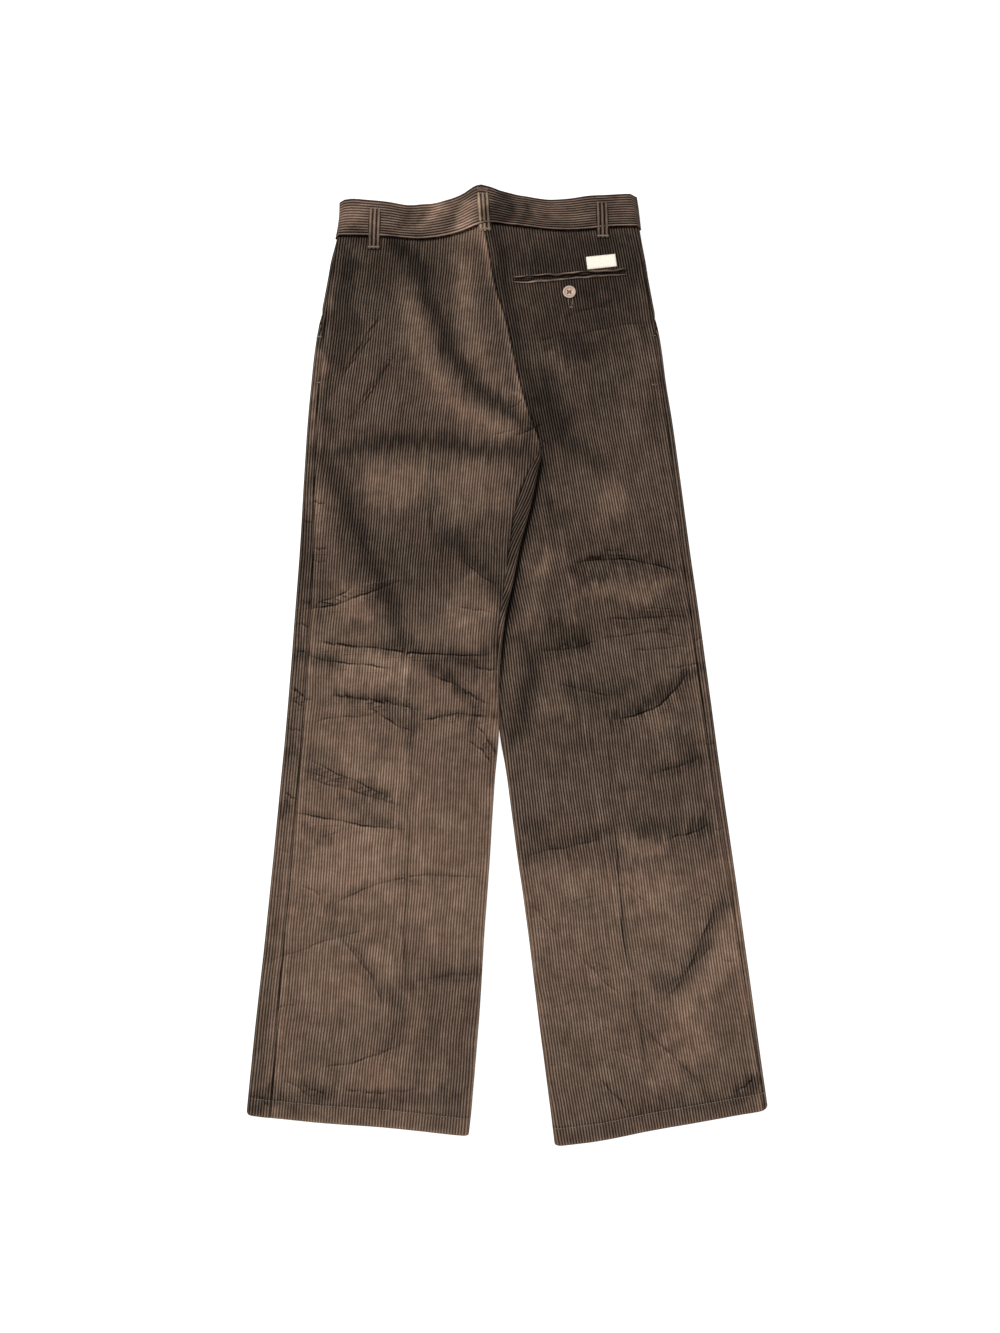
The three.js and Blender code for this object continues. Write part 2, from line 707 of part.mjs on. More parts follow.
// Back pocket: an upper and a lower welt along the slot.
const pocketSlot = { x0: 8, y0: 443.5, x1: 146, y1: 453 };
const welts = named("node shift gape", [
  ["pocket_welt_upper", 2.5, 0],
  ["pocket_welt_lower", -2.5, -1.6],
]);
for (const welt of welts) {
  const geometry = laidStrip(15, 2, weltWall, (along, across) => ({
    x: lerp(pocketSlot.x0, pocketSlot.x1, along),
    y:
      lerp(pocketSlot.y0, pocketSlot.y1, along) +
      welt.shift +
      welt.gape * Math.sin(Math.PI * clamp01(along * 2.2)) +
      (across - 0.5) * weltWidth,
    raise: weltCrown * Math.sin(Math.PI * across),
  }));
  addMesh(welt.node, geometry, corduroy);
}

// Sewn-on label above the pocket.
const labelCentre = { x: 115.5, y: 466, turn: 0.11 };
addMesh(
  "label",
  laidStrip(4, 2, labelSize.wall, (across, up) => {
    const right = (across - 0.5) * labelSize.width;
    const high = (up - 0.5) * labelSize.height;
    return {
      x: labelCentre.x + right * Math.cos(labelCentre.turn) - high * Math.sin(labelCentre.turn),
      y: labelCentre.y + right * Math.sin(labelCentre.turn) + high * Math.cos(labelCentre.turn),
      raise: 0,
    };
  }),
  wovenLabel,
);

// Four-hole button with a raised rim.
function toSolid(geometry) {
  const bare = geometry.clone();
  bare.deleteAttribute("normal");
  bare.deleteAttribute("uv");
  const merged = mergeVertices(bare, 1e-4);
  return new wasm.Manifold(
    new wasm.Mesh({
      numProp: 3,
      vertProperties: new Float32Array(merged.attributes.position.array),
      triVerts: new Uint32Array(merged.index.array),
    }),
  );
}

function fromSolid(solid) {
  const mesh = solid.getMesh();
  const geometry = new THREE.BufferGeometry();
  geometry.setAttribute("position", new THREE.BufferAttribute(mesh.vertProperties, 3));
  geometry.setIndex(new THREE.BufferAttribute(mesh.triVerts, 1));
  geometry.computeVertexNormals();
  return geometry;
}

const buttonProfile = named("radius height", [
  [0, 0],
  [0.9, 0],
  [1, 0.6],
  [1, 1.9],
  [0.9, 2.6],
  [0.7, 2.6],
  [0.58, 1.9],
  [0, 1.9],
]);
const buttonRadius = buttonDiameter / 2;
const buttonAt = { x: 76, y: 427 };
const buttonHoles = { spread: 1.9, radius: 1.0, length: 8 };
let buttonSolid = toSolid(
  new THREE.LatheGeometry(
    buttonProfile.map((point) => new THREE.Vector2(point.radius * buttonRadius, point.height)),
    20,
  ).rotateX(Math.PI / 2),
);
for (const right of [-1, 1]) {
  for (const up of [-1, 1]) {
    const hole = new THREE.CylinderGeometry(buttonHoles.radius, buttonHoles.radius, buttonHoles.length, 8)
      .rotateX(Math.PI / 2)
      .translate(right * buttonHoles.spread, up * buttonHoles.spread, 0);
    buttonSolid = buttonSolid.subtract(toSolid(hole));
  }
}
const button = addMesh("pocket_button", fromSolid(buttonSolid), buttonResin);
const buttonRim = shares(12).map((share) => {
  const angle = share * 2 * Math.PI;
  return surfaceAt(buttonAt.x + buttonRadius * Math.cos(angle), buttonAt.y + buttonRadius * Math.sin(angle));
});
button.position.set(buttonAt.x, buttonAt.y, Math.max(...buttonRim, surfaceAt(buttonAt.x, buttonAt.y)) + seamGap);

// The middle of the outline is put over the origin.
const middle = new THREE.Box3().setFromObject(group).getCenter(new THREE.Vector3()).setZ(0);
group.children.forEach((mesh) => mesh.position.sub(middle));

export default group;
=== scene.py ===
import math
import bpy
import numpy as np
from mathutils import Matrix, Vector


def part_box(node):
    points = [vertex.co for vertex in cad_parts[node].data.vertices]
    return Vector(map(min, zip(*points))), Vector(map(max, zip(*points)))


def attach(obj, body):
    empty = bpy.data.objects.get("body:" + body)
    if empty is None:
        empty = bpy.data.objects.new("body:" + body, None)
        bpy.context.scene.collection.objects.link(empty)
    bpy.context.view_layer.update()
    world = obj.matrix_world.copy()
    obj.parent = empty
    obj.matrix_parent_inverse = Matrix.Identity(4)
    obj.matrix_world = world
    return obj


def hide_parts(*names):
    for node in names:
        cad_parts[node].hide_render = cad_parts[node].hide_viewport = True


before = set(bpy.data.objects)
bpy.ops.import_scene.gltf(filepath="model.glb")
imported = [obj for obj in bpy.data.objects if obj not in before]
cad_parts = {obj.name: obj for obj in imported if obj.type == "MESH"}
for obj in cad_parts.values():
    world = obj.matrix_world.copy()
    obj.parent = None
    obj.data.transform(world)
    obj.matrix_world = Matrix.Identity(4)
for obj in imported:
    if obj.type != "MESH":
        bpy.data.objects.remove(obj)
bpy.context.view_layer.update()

mm = 0.001

# Sizes in millimetres, the same as the solids'. The surface they lie on is z = 0, the waist is towards +Y.
cut = {
    "wall": 1.6, "hemWall": 2.4, "bandWall": 2.6, "seamGap": 0.1, "lining": 0.3,
    "lowestInside": 4.2, "lowestAtEdge": 5.4,
    "hemDepth": 18.5, "hemRamp": 58.6, "hemY": -535.0,
    "waistY": 503.0, "bandDepth": 44.0, "crotchY": 233.0,
    "frontDip": 20.0, "frontHalfWidth": 185.0,
    "shoulder": 7.0, "shoulderPath": 9.0,
    "legEdgeRadius": 2.0, "hemEdgeRadius": 2.8, "hipEdgeRadius": 4.9,
    "legOverlapLift": 7.2, "frontLoopLift": 2.2, "frontLoopLow": 468.0, "frontLoopRamp": 21.0,
    "pocketMouthY": 367.0, "pocketMouthIn": 38.0,
    "facingInset": 2.3, "facingUnderlap": 12.0, "bandProud": 0.7,
}
wale = {"pitch": 3.175, "depth": 0.6, "columns": (0.0, 0.2, 0.5, 0.8)}  # eight wales to the inch

# The solids' middle was put over the origin: this is how far that moved them.
loopLow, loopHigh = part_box("belt_loop_front_left")
shiftX = loopLow.x / mm + 119.5
shiftY = loopHigh.y / mm - 527.0

# The camera, and where a point of its picture (1000 wide, 1333 high) lies on the cloth
cameraSize = {"lens": 27.0, "distance": 1162.5, "tilt": math.radians(6.84), "aimX": -8.2, "aimY": -31.2,
              "pixels": 999.75, "raised": 10.0, "clothHeight": 9.0}


def seenAt(u, v):
    # the ray through a picture point, followed down to the cloth's usual height
    tilt = cameraSize["tilt"]
    right, up = (u - 500) / cameraSize["pixels"], (666.5 - v) / cameraSize["pixels"]
    above = cameraSize["distance"] * math.cos(tilt) + cameraSize["raised"] - cameraSize["clothHeight"]
    reach = above / (math.cos(tilt) - up * math.sin(tilt))
    y = cameraSize["aimY"] - cameraSize["distance"] * math.sin(tilt) + reach * (up * math.cos(tilt) + math.sin(tilt))
    return cameraSize["aimX"] + reach * right, y


# Outlines, each row by height y or by x
outerLines = {  # y, folded outer edge, side seam
    "left": [
        (546, -205, -205), (500, -208.5, -208), (467, -215.5, -212), (418, -223.5, -218), (367, -231.5, -222),
        (316, -236.5, -226), (266, -240, -228), (192, -243, -229), (119, -245.5, -229), (47, -249, -230),
        (-93, -256.5, -236.5), (-185, -263, -241.5), (-275, -269.5, -247), (-363, -276.5, -253.5),
        (-450, -284, -258), (-535, -290, -262),
    ],
    "right": [
        (552, 158.5, 158.5), (500, 165, 163.5), (469, 170, 167), (418, 178, 173), (367, 186.5, 180),
        (316, 192.5, 186), (266, 199.5, 191.5), (192, 208, 199), (119, 216, 205.5), (47, 224.5, 214),
        (-47, 235, 224), (-139, 245, 234.5), (-275, 261, 252), (-406, 276, 269.5), (-535, 290.5, 286),
    ],
}
innerLines = {  # y, inner fold, how far in the inseam lies
    "left": [
        (233, 42.1, 2.5), (220, 41.2, 6), (205, 37.5, 11), (165, 29.5, 17.5), (113, 16, 13), (65, 6.5, 9.5),
        (20, -3, 6), (-40, -8.5, 3), (-111, -9.2, 1.2), (-162, -14, 0.8), (-252, -19.5, 0.8),
        (-341, -26, 0.8), (-428, -31.5, 0.8), (-513, -38.5, 0.8), (-560, -43.5, 0.8),
    ],
    "right": [
        (233, 40.2, 1.5), (224, 39.4, 1.5), (213, 37.0, 1.5), (203, 32.0, 1.5), (165, 19, 1.5), (95, -1, 1.5),
        (47, -11, 1.5), (0, -16.5, 1.5), (-50, -14.5, 1.5), (-111, -8.2, 1.2), (-162, 0, 0.8),
        (-252, 12, 0.8), (-341, 24.5, 0.8), (-428, 35, 0.8), (-513, 46, 0.8), (-563, 52, 0.8),
    ],
}
centreLines = [  # y, centre back seam, centre front seam
    (560, -36, -30), (514, -28, -27), (495, -24, -25), (431, -12, -12), (399, -2, -3), (354, 8, 8),
    (316, 16, 17), (273, 28, 29), (252, 36, 36.5), (233, 41, 41),
]
bandEdges = [  # x, lower edge, upper edge
    (-210, 499, 540), (-195, 499, 546.2), (-170, 498.5, 545), (-146, 497.5, 542.5), (-121, 495, 538.2),
    (-106, 494.3, 539), (-84, 496.5, 541.6), (-57, 503, 550.5), (-35, 511.5, 563), (-20, 514.3, 560.4),
    (-8, 513.8, 556.2), (29, 509.8, 548.5), (51, 507, 545.4), (76, 506, 546.6), (100, 507.3, 550.4),
    (125, 510.2, 551.7), (150, 511, 553), (160, 511, 551.5),
]
hemLines = {  # x, y
    "left": [(-292, -527), (-286, -531), (-248, -535), (-204, -539), (-145, -543), (-103, -547), (-61, -551.6),
             (-43, -553)],
    "right": [(48, -563), (60, -563), (85, -560), (113, -556), (156, -547.5), (209, -538.7), (257, -530.5),
              (283, -526), (291, -521)],
}
puffRows = [(-560, 8), (-500, 7.6), (-430, 6.9), (-200, 6.8), (60, 7), (200, 8.2), (260, 10), (400, 10.4),
            (500, 10), (560, 9.4)]
grainLines = {  # y, how far a wale has moved along X since the hem
    "left": [(-540, 0), (-350, 14.8), (-100, 28.4), (150, 42), (260, 50.5), (400, 63.5), (540, 77)],
    "right": [(-540, 0), (-400, -22.5), (-200, -48.5), (0, -75), (110, -94), (200, -110.5), (400, -143), (540, -165)],
}

# Large folds as the solids have them: x0, y0, x1, y1, sag, width, height, skew
largeFolds = [
    (-205, 256, 24, 252, 4, 24, 4.6, -0.4), (-92, 446, 20, 278, -12, 17, 4.6, -0.35),
    (-122, 430, -14, 255, -12, 13, -2.6, 0), (-149, 412, -204, 322, 6, 9, -1.6, 0),
    (-129, 368, -197, 258, 8, 9, -1.6, 0), (-226, 232, -150, 8, -12, 24, 3.0, 0.3),
    (-168, 205, -120, 40, -8, 20, -1.8, 0), (-92, 146, -12, 82, 6, 17, 2.6, -0.3),
    (-72, 108, -10, 44, 5, 13, -1.8, 0), (-246, 34, -118, 70, -8, 9, -1.6, 0),
    (-236, 2, -10, -20, 5, 10, -2.0, 0), (-230, 16, -20, -4, 5, 12, 1.6, 0),
    (-95, -36, -18, -76, 3, 9, -1.6, 0), (-252, -56, -106, -108, -7, 10, -2.0, 0),
    (-104, -94, -16, -88, 3, 10, -1.8, 0), (-60, -112, -16, -146, 3, 9, -1.6, 0),
    (-238, -132, -118, -190, -4, 13, -1.5, 0), (-260, -198, -110, -222, -5, 13, -2.0, 0),
    (-250, -182, -130, -206, -5, 13, 1.5, 0), (-212, -308, -20, -276, 14, 11, -1.6, 0),
    (-194, -330, -134, -420, 5, 18, 2.0, -0.3), (-276, -368, -146, -326, 3, 10, -1.3, 0),
    (-214, -484, -114, -454, -3, 11, -1.5, 0), (-112, 110, -140, -500, -3, 8, 1.2, 0),
    (30, 372, 92, 392, 3, 11, -1.3, 0), (68, 366, 186, 392, 5, 11, -1.2, 0),
    (60, 268, 112, 206, 4, 18, 1.8, 0.3), (70, 90, 212, 80, 13, 11, -2.0, 0),
    (74, 74, 206, 64, 12, 12, 1.3, 0), (34, -14, 84, 2, -3, 12, -2.0, 0),
    (112, -94, 216, -32, -15, 12, -3.4, 0.2), (128, -112, 224, -58, -12, 14, 2.0, 0),
    (40, -44, 142, -66, -4, 14, -1.4, 0), (34, -30, 8, -98, 5, 13, -1.8, 0),
    (30, 92, 8, -26, 3, 10, 2.4, 0), (16, -250, 120, -228, 3, 13, -2.4, 0),
    (22, -232, 122, -212, 3, 13, 1.6, 0), (180, -232, 238, -210, 3, 12, -2.6, 0),
    (240, -290, 174, -412, 8, 18, 2.0, 0.3), (68, -344, 138, -410, 0, 11, -1.3, 0),
    (138, -420, 226, -506, -3, 11, -1.5, 0), (48, 200, 152, -500, 3, 8, 1.2, 0),
]

# Sharp creases: x0, y0, x1, y1, sag, width, depth
creases = [
    (-149, 412, -202, 326, 3, 3.0, 0.8), (-129, 364, -195, 262, 5, 3.0, 0.8),
    (-248, 36, -120, 76, -7, 2.6, 1.1), (-232, 1, -12, -18, -4, 2.8, 1.5), (-252, -54, -226, -70, -2, 2.4, 0.9),
    (-95, -38, -20, -74, 2, 2.6, 0.8), (-210, -64, -124, -74, 1, 2.6, 0.9), (-163, -77, -105, -108, -2, 2.6, 0.9),
    (-101, -93, -17, -88, 2, 2.8, 1.1), (-46, -115, -17, -144, 2, 2.4, 0.9), (-235, -134, -121, -187, -2, 2.6, 0.7),
    (-234, -157, -112, -192, -2, 2.6, 0.6), (-258, -196, -114, -218, -3, 2.8, 0.9), (-235, -280, -210, -294, 1, 2.4, 0.7),
    (-209, -306, -24, -273, 16, 2.6, 0.9), (-191, -336, -137, -417, 6, 3.0, 0.6), (-273, -366, -149, -328, 2, 2.4, 0.7),
    (-103, -385, -28, -381, 2, 2.4, 0.5), (-211, -480, -118, -456, -4, 2.4, 1.1), (-252, -492, -214, -514, 2, 2.6, 0.7),
    (-183, -502, -131, -506, -2, 2.6, 1.2), (-55, 95, -8, 59, 2, 2.6, 0.6),
    (72, 400, 143, 419, 1, 2.6, 0.5), (72, 372, 180, 390, 3, 2.6, 0.5), (38, 364, 60, 374, 0, 2.4, 0.5),
    (74, 93, 209, 81, 9, 2.8, 1.1), (33, -12, 80, 0, -2, 2.6, 0.7), (50, -47, 137, -64, -4, 2.6, 0.6),
    (121, -93, 213, -35, -14, 3.2, 1.6), (170, -153, 228, -134, -2, 2.4, 0.6), (20, -249, 117, -228, 1, 3.0, 0.9),
    (183, -229, 234, -212, -2, 3.0, 1.4), (126, -273, 161, -303, 1, 2.4, 0.6), (69, -347, 135, -407, -2, 2.6, 0.7),
    (230, -286, 223, -341, 7, 2.4, 0.6), (235, -297, 176, -407, 8, 2.6, 0.7), (142, -423, 223, -503, -3, 2.6, 0.9),
    (114, -460, 159, -474, 0, 2.2, 0.5), (97, -487, 137, -535, 3, 2.4, 0.7), (26, -303, 59, -341, 2, 2.4, 0.4),
    (42, -476, 65, -480, 0, 2.2, 0.4), (-180, 128, -160, 96, 2, 2.4, 0.5), (-60, 40, -12, 30, 2, 2.4, 0.5),
    (150, 10, 214, 4, 2, 2.4, 0.5), (140, -14, 214, -8, 2, 2.4, 0.5), (-226, -96, -150, -88, 3, 2.4, 0.5),
    (-110, 95, -138, -450, -2, 1.7, -0.5), (46, 205, 148, -460, -3, 1.7, -0.5),
]
seenCreases = [  # the same, with both ends as picture points
    (360, 585, 408, 577, 1, 3.0, -0.8), (309, 606, 356, 585, -2, 2.2, 0.9), (312, 502, 327, 504, 0, 1.6, 0.8),
    (312, 548, 329, 549, 0, 1.6, 0.8), (311, 560, 327, 562, 0, 1.5, 0.7), (309, 642, 378, 649, 1, 1.8, 1.0),
    (305, 655, 396, 668, -2, 2.2, 0.9), (470, 668, 501, 671, 1, 2.0, 0.8), (330, 694, 422, 711, 2, 2.4, 1.1),
    (458, 688, 492, 704, -2, 2.2, 0.9), (292, 686, 303, 695, 0, 1.8, 0.9), (585, 554, 606, 557, -1, 2.0, 0.9),
    (600, 549, 627, 552, 1, 1.8, 0.6), (540, 652, 600, 640, -2, 2.2, 0.7), (600, 640, 682, 628, 2, 2.2, 0.6),
    (430, 715, 500, 717, 2, 1.8, 0.7), (475, 725, 497, 757, 3, 2.0, 0.8), (640, 606, 690, 610, -1, 1.8, 0.5),
    (562, 317, 612, 305, 1, 1.8, 0.6), (335, 391, 381, 325, 3, 1.8, 0.7), (350, 421, 402, 345, 2, 1.8, 0.6),
    (600, 620, 690, 617, 2, 2.0, 0.7), (514, 437, 546, 424, 1, 2.2, 0.9), (528, 420, 552, 448, -2, 2.0, 0.7),
    (666, 668, 704, 664, 1, 1.8, 0.6), (650, 775, 696, 757, -2, 2.2, 0.7), (300, 771, 352, 787, 2, 2.0, 0.5),
    (345, 940, 372, 972, 2, 2.0, 0.5), (410, 981, 480, 974, 2, 1.8, 0.5), (655, 1040, 704, 1088, 2, 1.8, 0.6),
    (560, 905, 600, 896, 1, 1.6, 0.4), (585, 960, 618, 975, 1, 1.6, 0.4), (548, 1010, 580, 998, -1, 1.6, 0.4),
    (300, 1085, 328, 1097, 1, 2.0, 0.8), (360, 1092, 420, 1089, -1, 1.8, 0.6), (690, 905, 722, 888, 1, 1.8, 0.5),
    (668, 985, 716, 940, -3, 2.2, 0.6), (735, 1093, 754, 1076, -2, 2.6, 1.4), (252, 1096, 271, 1108, 2, 2.4, 1.1),
    (316, 838, 340, 833, 1, 2.0, 0.7), (270, 1012, 296, 1003, 1, 1.8, 0.6), (434, 462, 434, 538, 0, 1.5, -0.5),
    (609, 735, 611, 812, 0, 1.2, 0.5), (611, 800, 629, 985, 0, 1.2, 0.75),
    (628, 975, 646, 1066, 0, 1.2, 0.5), (412, 690, 410, 800, 0, 1.2, 0.4), (409, 800, 403, 1000, 0, 1.2, 0.4),
    (434, 540, 436, 600, 0, 1.2, 0.3), (548, 474, 566, 560, 1, 1.2, -0.6), (566, 560, 578, 640, 0, 1.2, -0.4),
    (509, 410, 528, 398, 0, 1.4, 0.7), (486, 440, 520, 428, 1, 1.6, 0.5), (300, 600, 312, 603, 0, 1.6, 0.8),
    (297, 622, 310, 627, 0, 1.6, 0.8), (294, 650, 308, 652, 0, 1.6, 0.9), (290, 700, 304, 706, 0, 1.6, 0.8),
    (287, 728, 302, 731, 0, 1.6, 0.7), (302, 520, 314, 524, 0, 1.6, 0.6), (283, 792, 298, 800, 0, 1.6, 0.8),
    (276, 850, 292, 852, 0, 1.6, 0.5), (690, 560, 700, 566, 0, 1.6, 0.6), (694, 640, 706, 636, 0, 1.6, 0.7),
    (704, 745, 716, 742, 0, 1.6, 0.6), (712, 830, 726, 828, 0, 1.6, 0.7), (722, 960, 738, 962, 0, 1.6, 0.6),
]
for u0, v0, u1, v1, sag, width, depth in seenCreases:
    creases.append((*seenAt(u0, v0), *seenAt(u1, v1), sag, width, depth))
creaseReach = 9.0  # how far from a crease its distance is still told


# Small helpers, all of them on whole arrays
def lerp(a, b, q):
    return a + (b - a) * q


def ease(a, b, q):
    # cubic step from 0 at a to 1 at b; a may lie above b
    t = np.clip((np.asarray(q, float) - a) / (b - a), 0, 1)
    return t * t * (3 - 2 * t)


def bell(q, reach):
    return np.exp(-(q / reach) ** 2)


def curveThrough(rows, fromColumn=0, toColumn=1):
    # cubic through the rows' points, slopes from the neighbours, carried on straight past both ends
    points = sorted(rows, key=lambda row: row[fromColumn])
    at = np.array([row[fromColumn] for row in points], float)
    value = np.array([row[toColumn] for row in points], float)
    before = np.maximum(np.arange(len(at)) - 1, 0)
    after = np.minimum(np.arange(len(at)) + 1, len(at) - 1)
    slope = (value[after] - value[before]) / (at[after] - at[before])

    def curve(q):
        q = np.asarray(q, float)
        i = np.clip(np.searchsorted(at, q, side="left") - 1, 0, len(at) - 2)
        span = at[i + 1] - at[i]
        t = (q - at[i]) / span
        rise = value[i + 1] - value[i]
        bendIn = slope[i] * span - rise
        bendOut = rise - slope[i + 1] * span
        inside = value[i] + rise * t + t * (1 - t) * (bendIn * (1 - t) + bendOut * t)
        low = value[0] + slope[0] * (q - at[0])
        high = value[-1] + slope[-1] * (q - at[-1])
        return np.where(q <= at[0], low, np.where(q >= at[-1], high, inside))

    return curve


centreBack = curveThrough(centreLines, 0, 1)
centreFront = curveThrough(centreLines, 0, 2)
bandLower = curveThrough(bandEdges, 0, 1)
bandUpper = curveThrough(bandEdges, 0, 2)
puffAt = curveThrough(puffRows)
halves = {}
for side, out in (("left", -1), ("right", 1)):
    halves[side] = {
        "name": side, "out": out,
        "edge": curveThrough(outerLines[side], 0, 1), "seam": curveThrough(outerLines[side], 0, 2),
        "fold": curveThrough(innerLines[side], 0, 1), "inseamIn": curveThrough(innerLines[side], 0, 2),
        "hem": curveThrough(hemLines[side]), "grain": curveThrough(grainLines[side]),
    }
rightFold = halves["right"]["fold"]


# The garment's form
def foldFrame(row, x, y):
    # share along a fold from -1 to 1, and the distance across its bowed line
    x0, y0, x1, y1, sag = row[:5]
    dx, dy = x1 - x0, y1 - y0
    length = math.hypot(dx, dy)
    middle = 2 * ((x - x0) * dx + (y - y0) * dy) / length ** 2 - 1
    return middle, ((y - y0) * dx - (x - x0) * dy) / length - sag * (1 - middle ** 2)


def foldHeight(row, x, y):
    # a bell across the fold that fades towards both ends
    width, height, skew = row[5:]
    middle, across = foldFrame(row, x, y)
    reach = width * np.where(across > 0, 1 - skew, 1 + skew)
    return height * ease(1.12, 0.6, np.abs(middle)) * bell(across, reach)


def creaseWander(row, middle):
    # two slow waves and a small quick one, in millimetres
    return 0.9 * np.sin(4.1 * middle + row[0]) + 0.5 * np.sin(9.7 * middle + row[1]) + 0.25 * np.sin(31 * middle + row[2])


def creaseHeight(row, x, y):
    # a narrow trough between two low shoulders, wandering a little along its way
    width, depth = row[5:]
    middle, across = foldFrame(row, x, y)
    across = across + creaseWander(row, middle)
    fade = ease(1.1, 0.35, np.abs(middle)) * (0.8 + 0.2 * np.sin(9 * middle + row[2]))
    return depth * fade * (0.4 * bell(np.abs(across) - 2.4 * width, 1.5 * width) - bell(across, width))


def creaseField(x, y):
    # the signed distance to the nearest crease's line, and that crease's strength there, fading to its ends
    nearest = np.full(x.shape, creaseReach)
    strength = np.zeros(x.shape)
    for row in creases:
        x0, y0, x1, y1, sag, width = row[:6]
        margin = abs(sag) + creaseReach
        here = (x > min(x0, x1) - margin) & (x < max(x0, x1) + margin) & (y > min(y0, y1) - margin) & (y < max(y0, y1) + margin)
        if not here.any():
            continue
        middle, across = foldFrame(row, x[here], y[here])
        across = across + creaseWander(row, middle)
        pressed = abs(y1 - y0) > abs(x1 - x0)
        calm = 1.0 if pressed or y0 + y1 > -420 else 0.62  # the lower legs lie smoother
        power = calm * row[6] * ease(1.06, 0.5, np.abs(middle)) * (0.75 + 0.25 * np.sin(9 * middle + row[2]))
        closer = (np.abs(across) < np.abs(nearest[here])) & (np.abs(middle) < 1.06)
        nearest[here] = np.where(closer, across, nearest[here])
        strength[here] = np.where(closer, power, strength[here])
    return nearest, strength


def liftUnder(half, x, y):
    # how high the underside is lifted: over the other leg's inner edge, and by the front belt loops
    lift = cut["frontLoopLift"] * ease(cut["frontLoopLow"] - 22, cut["frontLoopLow"] - 1, y)
    if half["name"] == "left":
        edge = rightFold(np.minimum(y, cut["crotchY"]))
        lift = lift + cut["legOverlapLift"] * ease(250, 222, y) * ease(-165, -112, y) * ease(edge - 15, edge - 5, x)
    return lift


def seamRidge(half, x, y):
    # seam allowances pressed open under the cloth: a low ridge each side of the seam and a nick along it
    off = np.abs(x - half["seam"](y))
    side = 0.75 * ease(11.5, 8, off) * ease(-560, -500, y) - 0.35 * bell(off, 0.9)
    middle = np.abs(x - centreBack(y))
    centre = (0.7 * ease(11.5, 8, middle) - 0.6 * bell(middle, 1.0)) * ease(225, 240, y)
    return side * ease(470, 380, y) + centre


def hemRelief(half, x, y):
    # stitch groove with small puckers above the hem's edge
    up = y - half["hem"](x)
    groove = -0.55 * bell(up - cut["hemDepth"], 1.1)
    pucker = 0.22 * np.sin(x / 1.9 + up / 2.6) * np.sin(x / 5.3 + 1.7) * bell(up - cut["hemDepth"] + 4, 7)
    step = 0.45 * ease(cut["hemDepth"] + 2.5, cut["hemDepth"] + 0.5, up)
    return groove + pucker + step


def topHeight(half, x, y):
    # height of the top face away from the folded edges
    legMiddle = (half["edge"](y) + half["fold"](y)) / 2
    lift = liftUnder(half, x, y)
    height = puffAt(y) + 0.8 * lift + 0.9 * bell(x - legMiddle, 90) * ease(250, 100, y)
    height = height + 3.2 * bell(x + 29, 26) * ease(455, 540, y)
    calm = 1 - 0.85 * ease(462, 492, y)
    for row in largeFolds:
        height = height + calm * foldHeight(row, x, y)
    if half["name"] == "right":
        fold = half["fold"](np.minimum(y, cut["crotchY"]))
        low = ease(232, 205, y) * ease(-150, -100, y)
        height = lerp(height, cut["lowestAtEdge"], low * ease(fold + 30, fold + 16, x))
    inner = np.where(y < cut["crotchY"], np.abs(x - half["fold"](y)), 18)
    nearEdge = ease(18, 8, np.minimum(inner, np.abs(x - half["edge"](y))))
    return np.maximum(height, lerp(cut["lowestInside"], cut["lowestAtEdge"], nearEdge) + 0.9 * lift)


def fineHeight(half, x, y):
    # what the finished cloth adds to the solids' top face
    folded = 0.0
    for row in creases:
        folded = folded + creaseHeight(row, x, y)
    height = np.maximum(seamRidge(half, x, y) + hemRelief(half, x, y) + folded, -0.75)
    slow = 0.35 * np.sin(x / 23 + 0.6 * np.sin(y / 31)) * np.sin(y / 37 + 1.1 * np.sin(x / 41))
    quick = 0.14 * np.sin(x / 7.9 + y / 13.7) * np.sin(y / 9.1 - x / 17.3)
    # crinkles lie across the leg, in patches
    wave = np.sin(y / 2.9 + 1.9 * np.sin(x / 16 + 0.7 * np.sin(y / 33)) + 1.2 * np.sin(y / 13 + x / 47))
    patch = ease(0.15, 0.9, np.sin(x / 33 + 1.7 * np.sin(y / 71)) * np.sin(y / 29 + 1.3 * np.sin(x / 53) + 1))
    crinkle = 0.26 * wave * patch * ease(330, 180, y)
    return height + (slow + quick + crinkle) * ease(500, 470, y)


def edgeRadius(y):
    hip = lerp(cut["legEdgeRadius"], cut["hipEdgeRadius"], ease(300, 350, y))
    hemTop = cut["hemY"] + cut["hemDepth"]
    return np.where(y > 0, hip, lerp(cut["legEdgeRadius"], cut["hemEdgeRadius"], ease(hemTop + cut["hemRamp"], hemTop, y)))


def wallAt(half, x, y):
    return lerp(cut["wall"], cut["hemWall"], ease(cut["hemDepth"] + 2, cut["hemDepth"] - 1, y - half["hem"](x)))


def pathIn(d):
    # path over the rounded shoulder for a distance in from the folded edge
    inside = 2 * np.arccos(np.clip(1 - d / cut["shoulder"], -1, 1)) / np.pi
    return np.where(d < cut["shoulder"], cut["shoulderPath"] * inside, cut["shoulderPath"] + d - cut["shoulder"])


def distanceIn(path):
    turn = np.clip(path / cut["shoulderPath"], 0, 1) * np.pi / 2
    return cut["shoulder"] * (1 - np.cos(turn)) + np.maximum(path - cut["shoulderPath"], 0)


def overEdge(half, edgeX, x, y, top, sharp=1.0):
    # the top face falls over its shoulder to the folded edge at edgeX
    turn = np.clip(pathIn(np.abs(x - edgeX)) / cut["shoulderPath"], 0, 1) * np.pi / 2
    share = 1 - sharp * (1 - np.sin(turn))
    return lerp(liftUnder(half, edgeX, y) + edgeRadius(y), top, share)


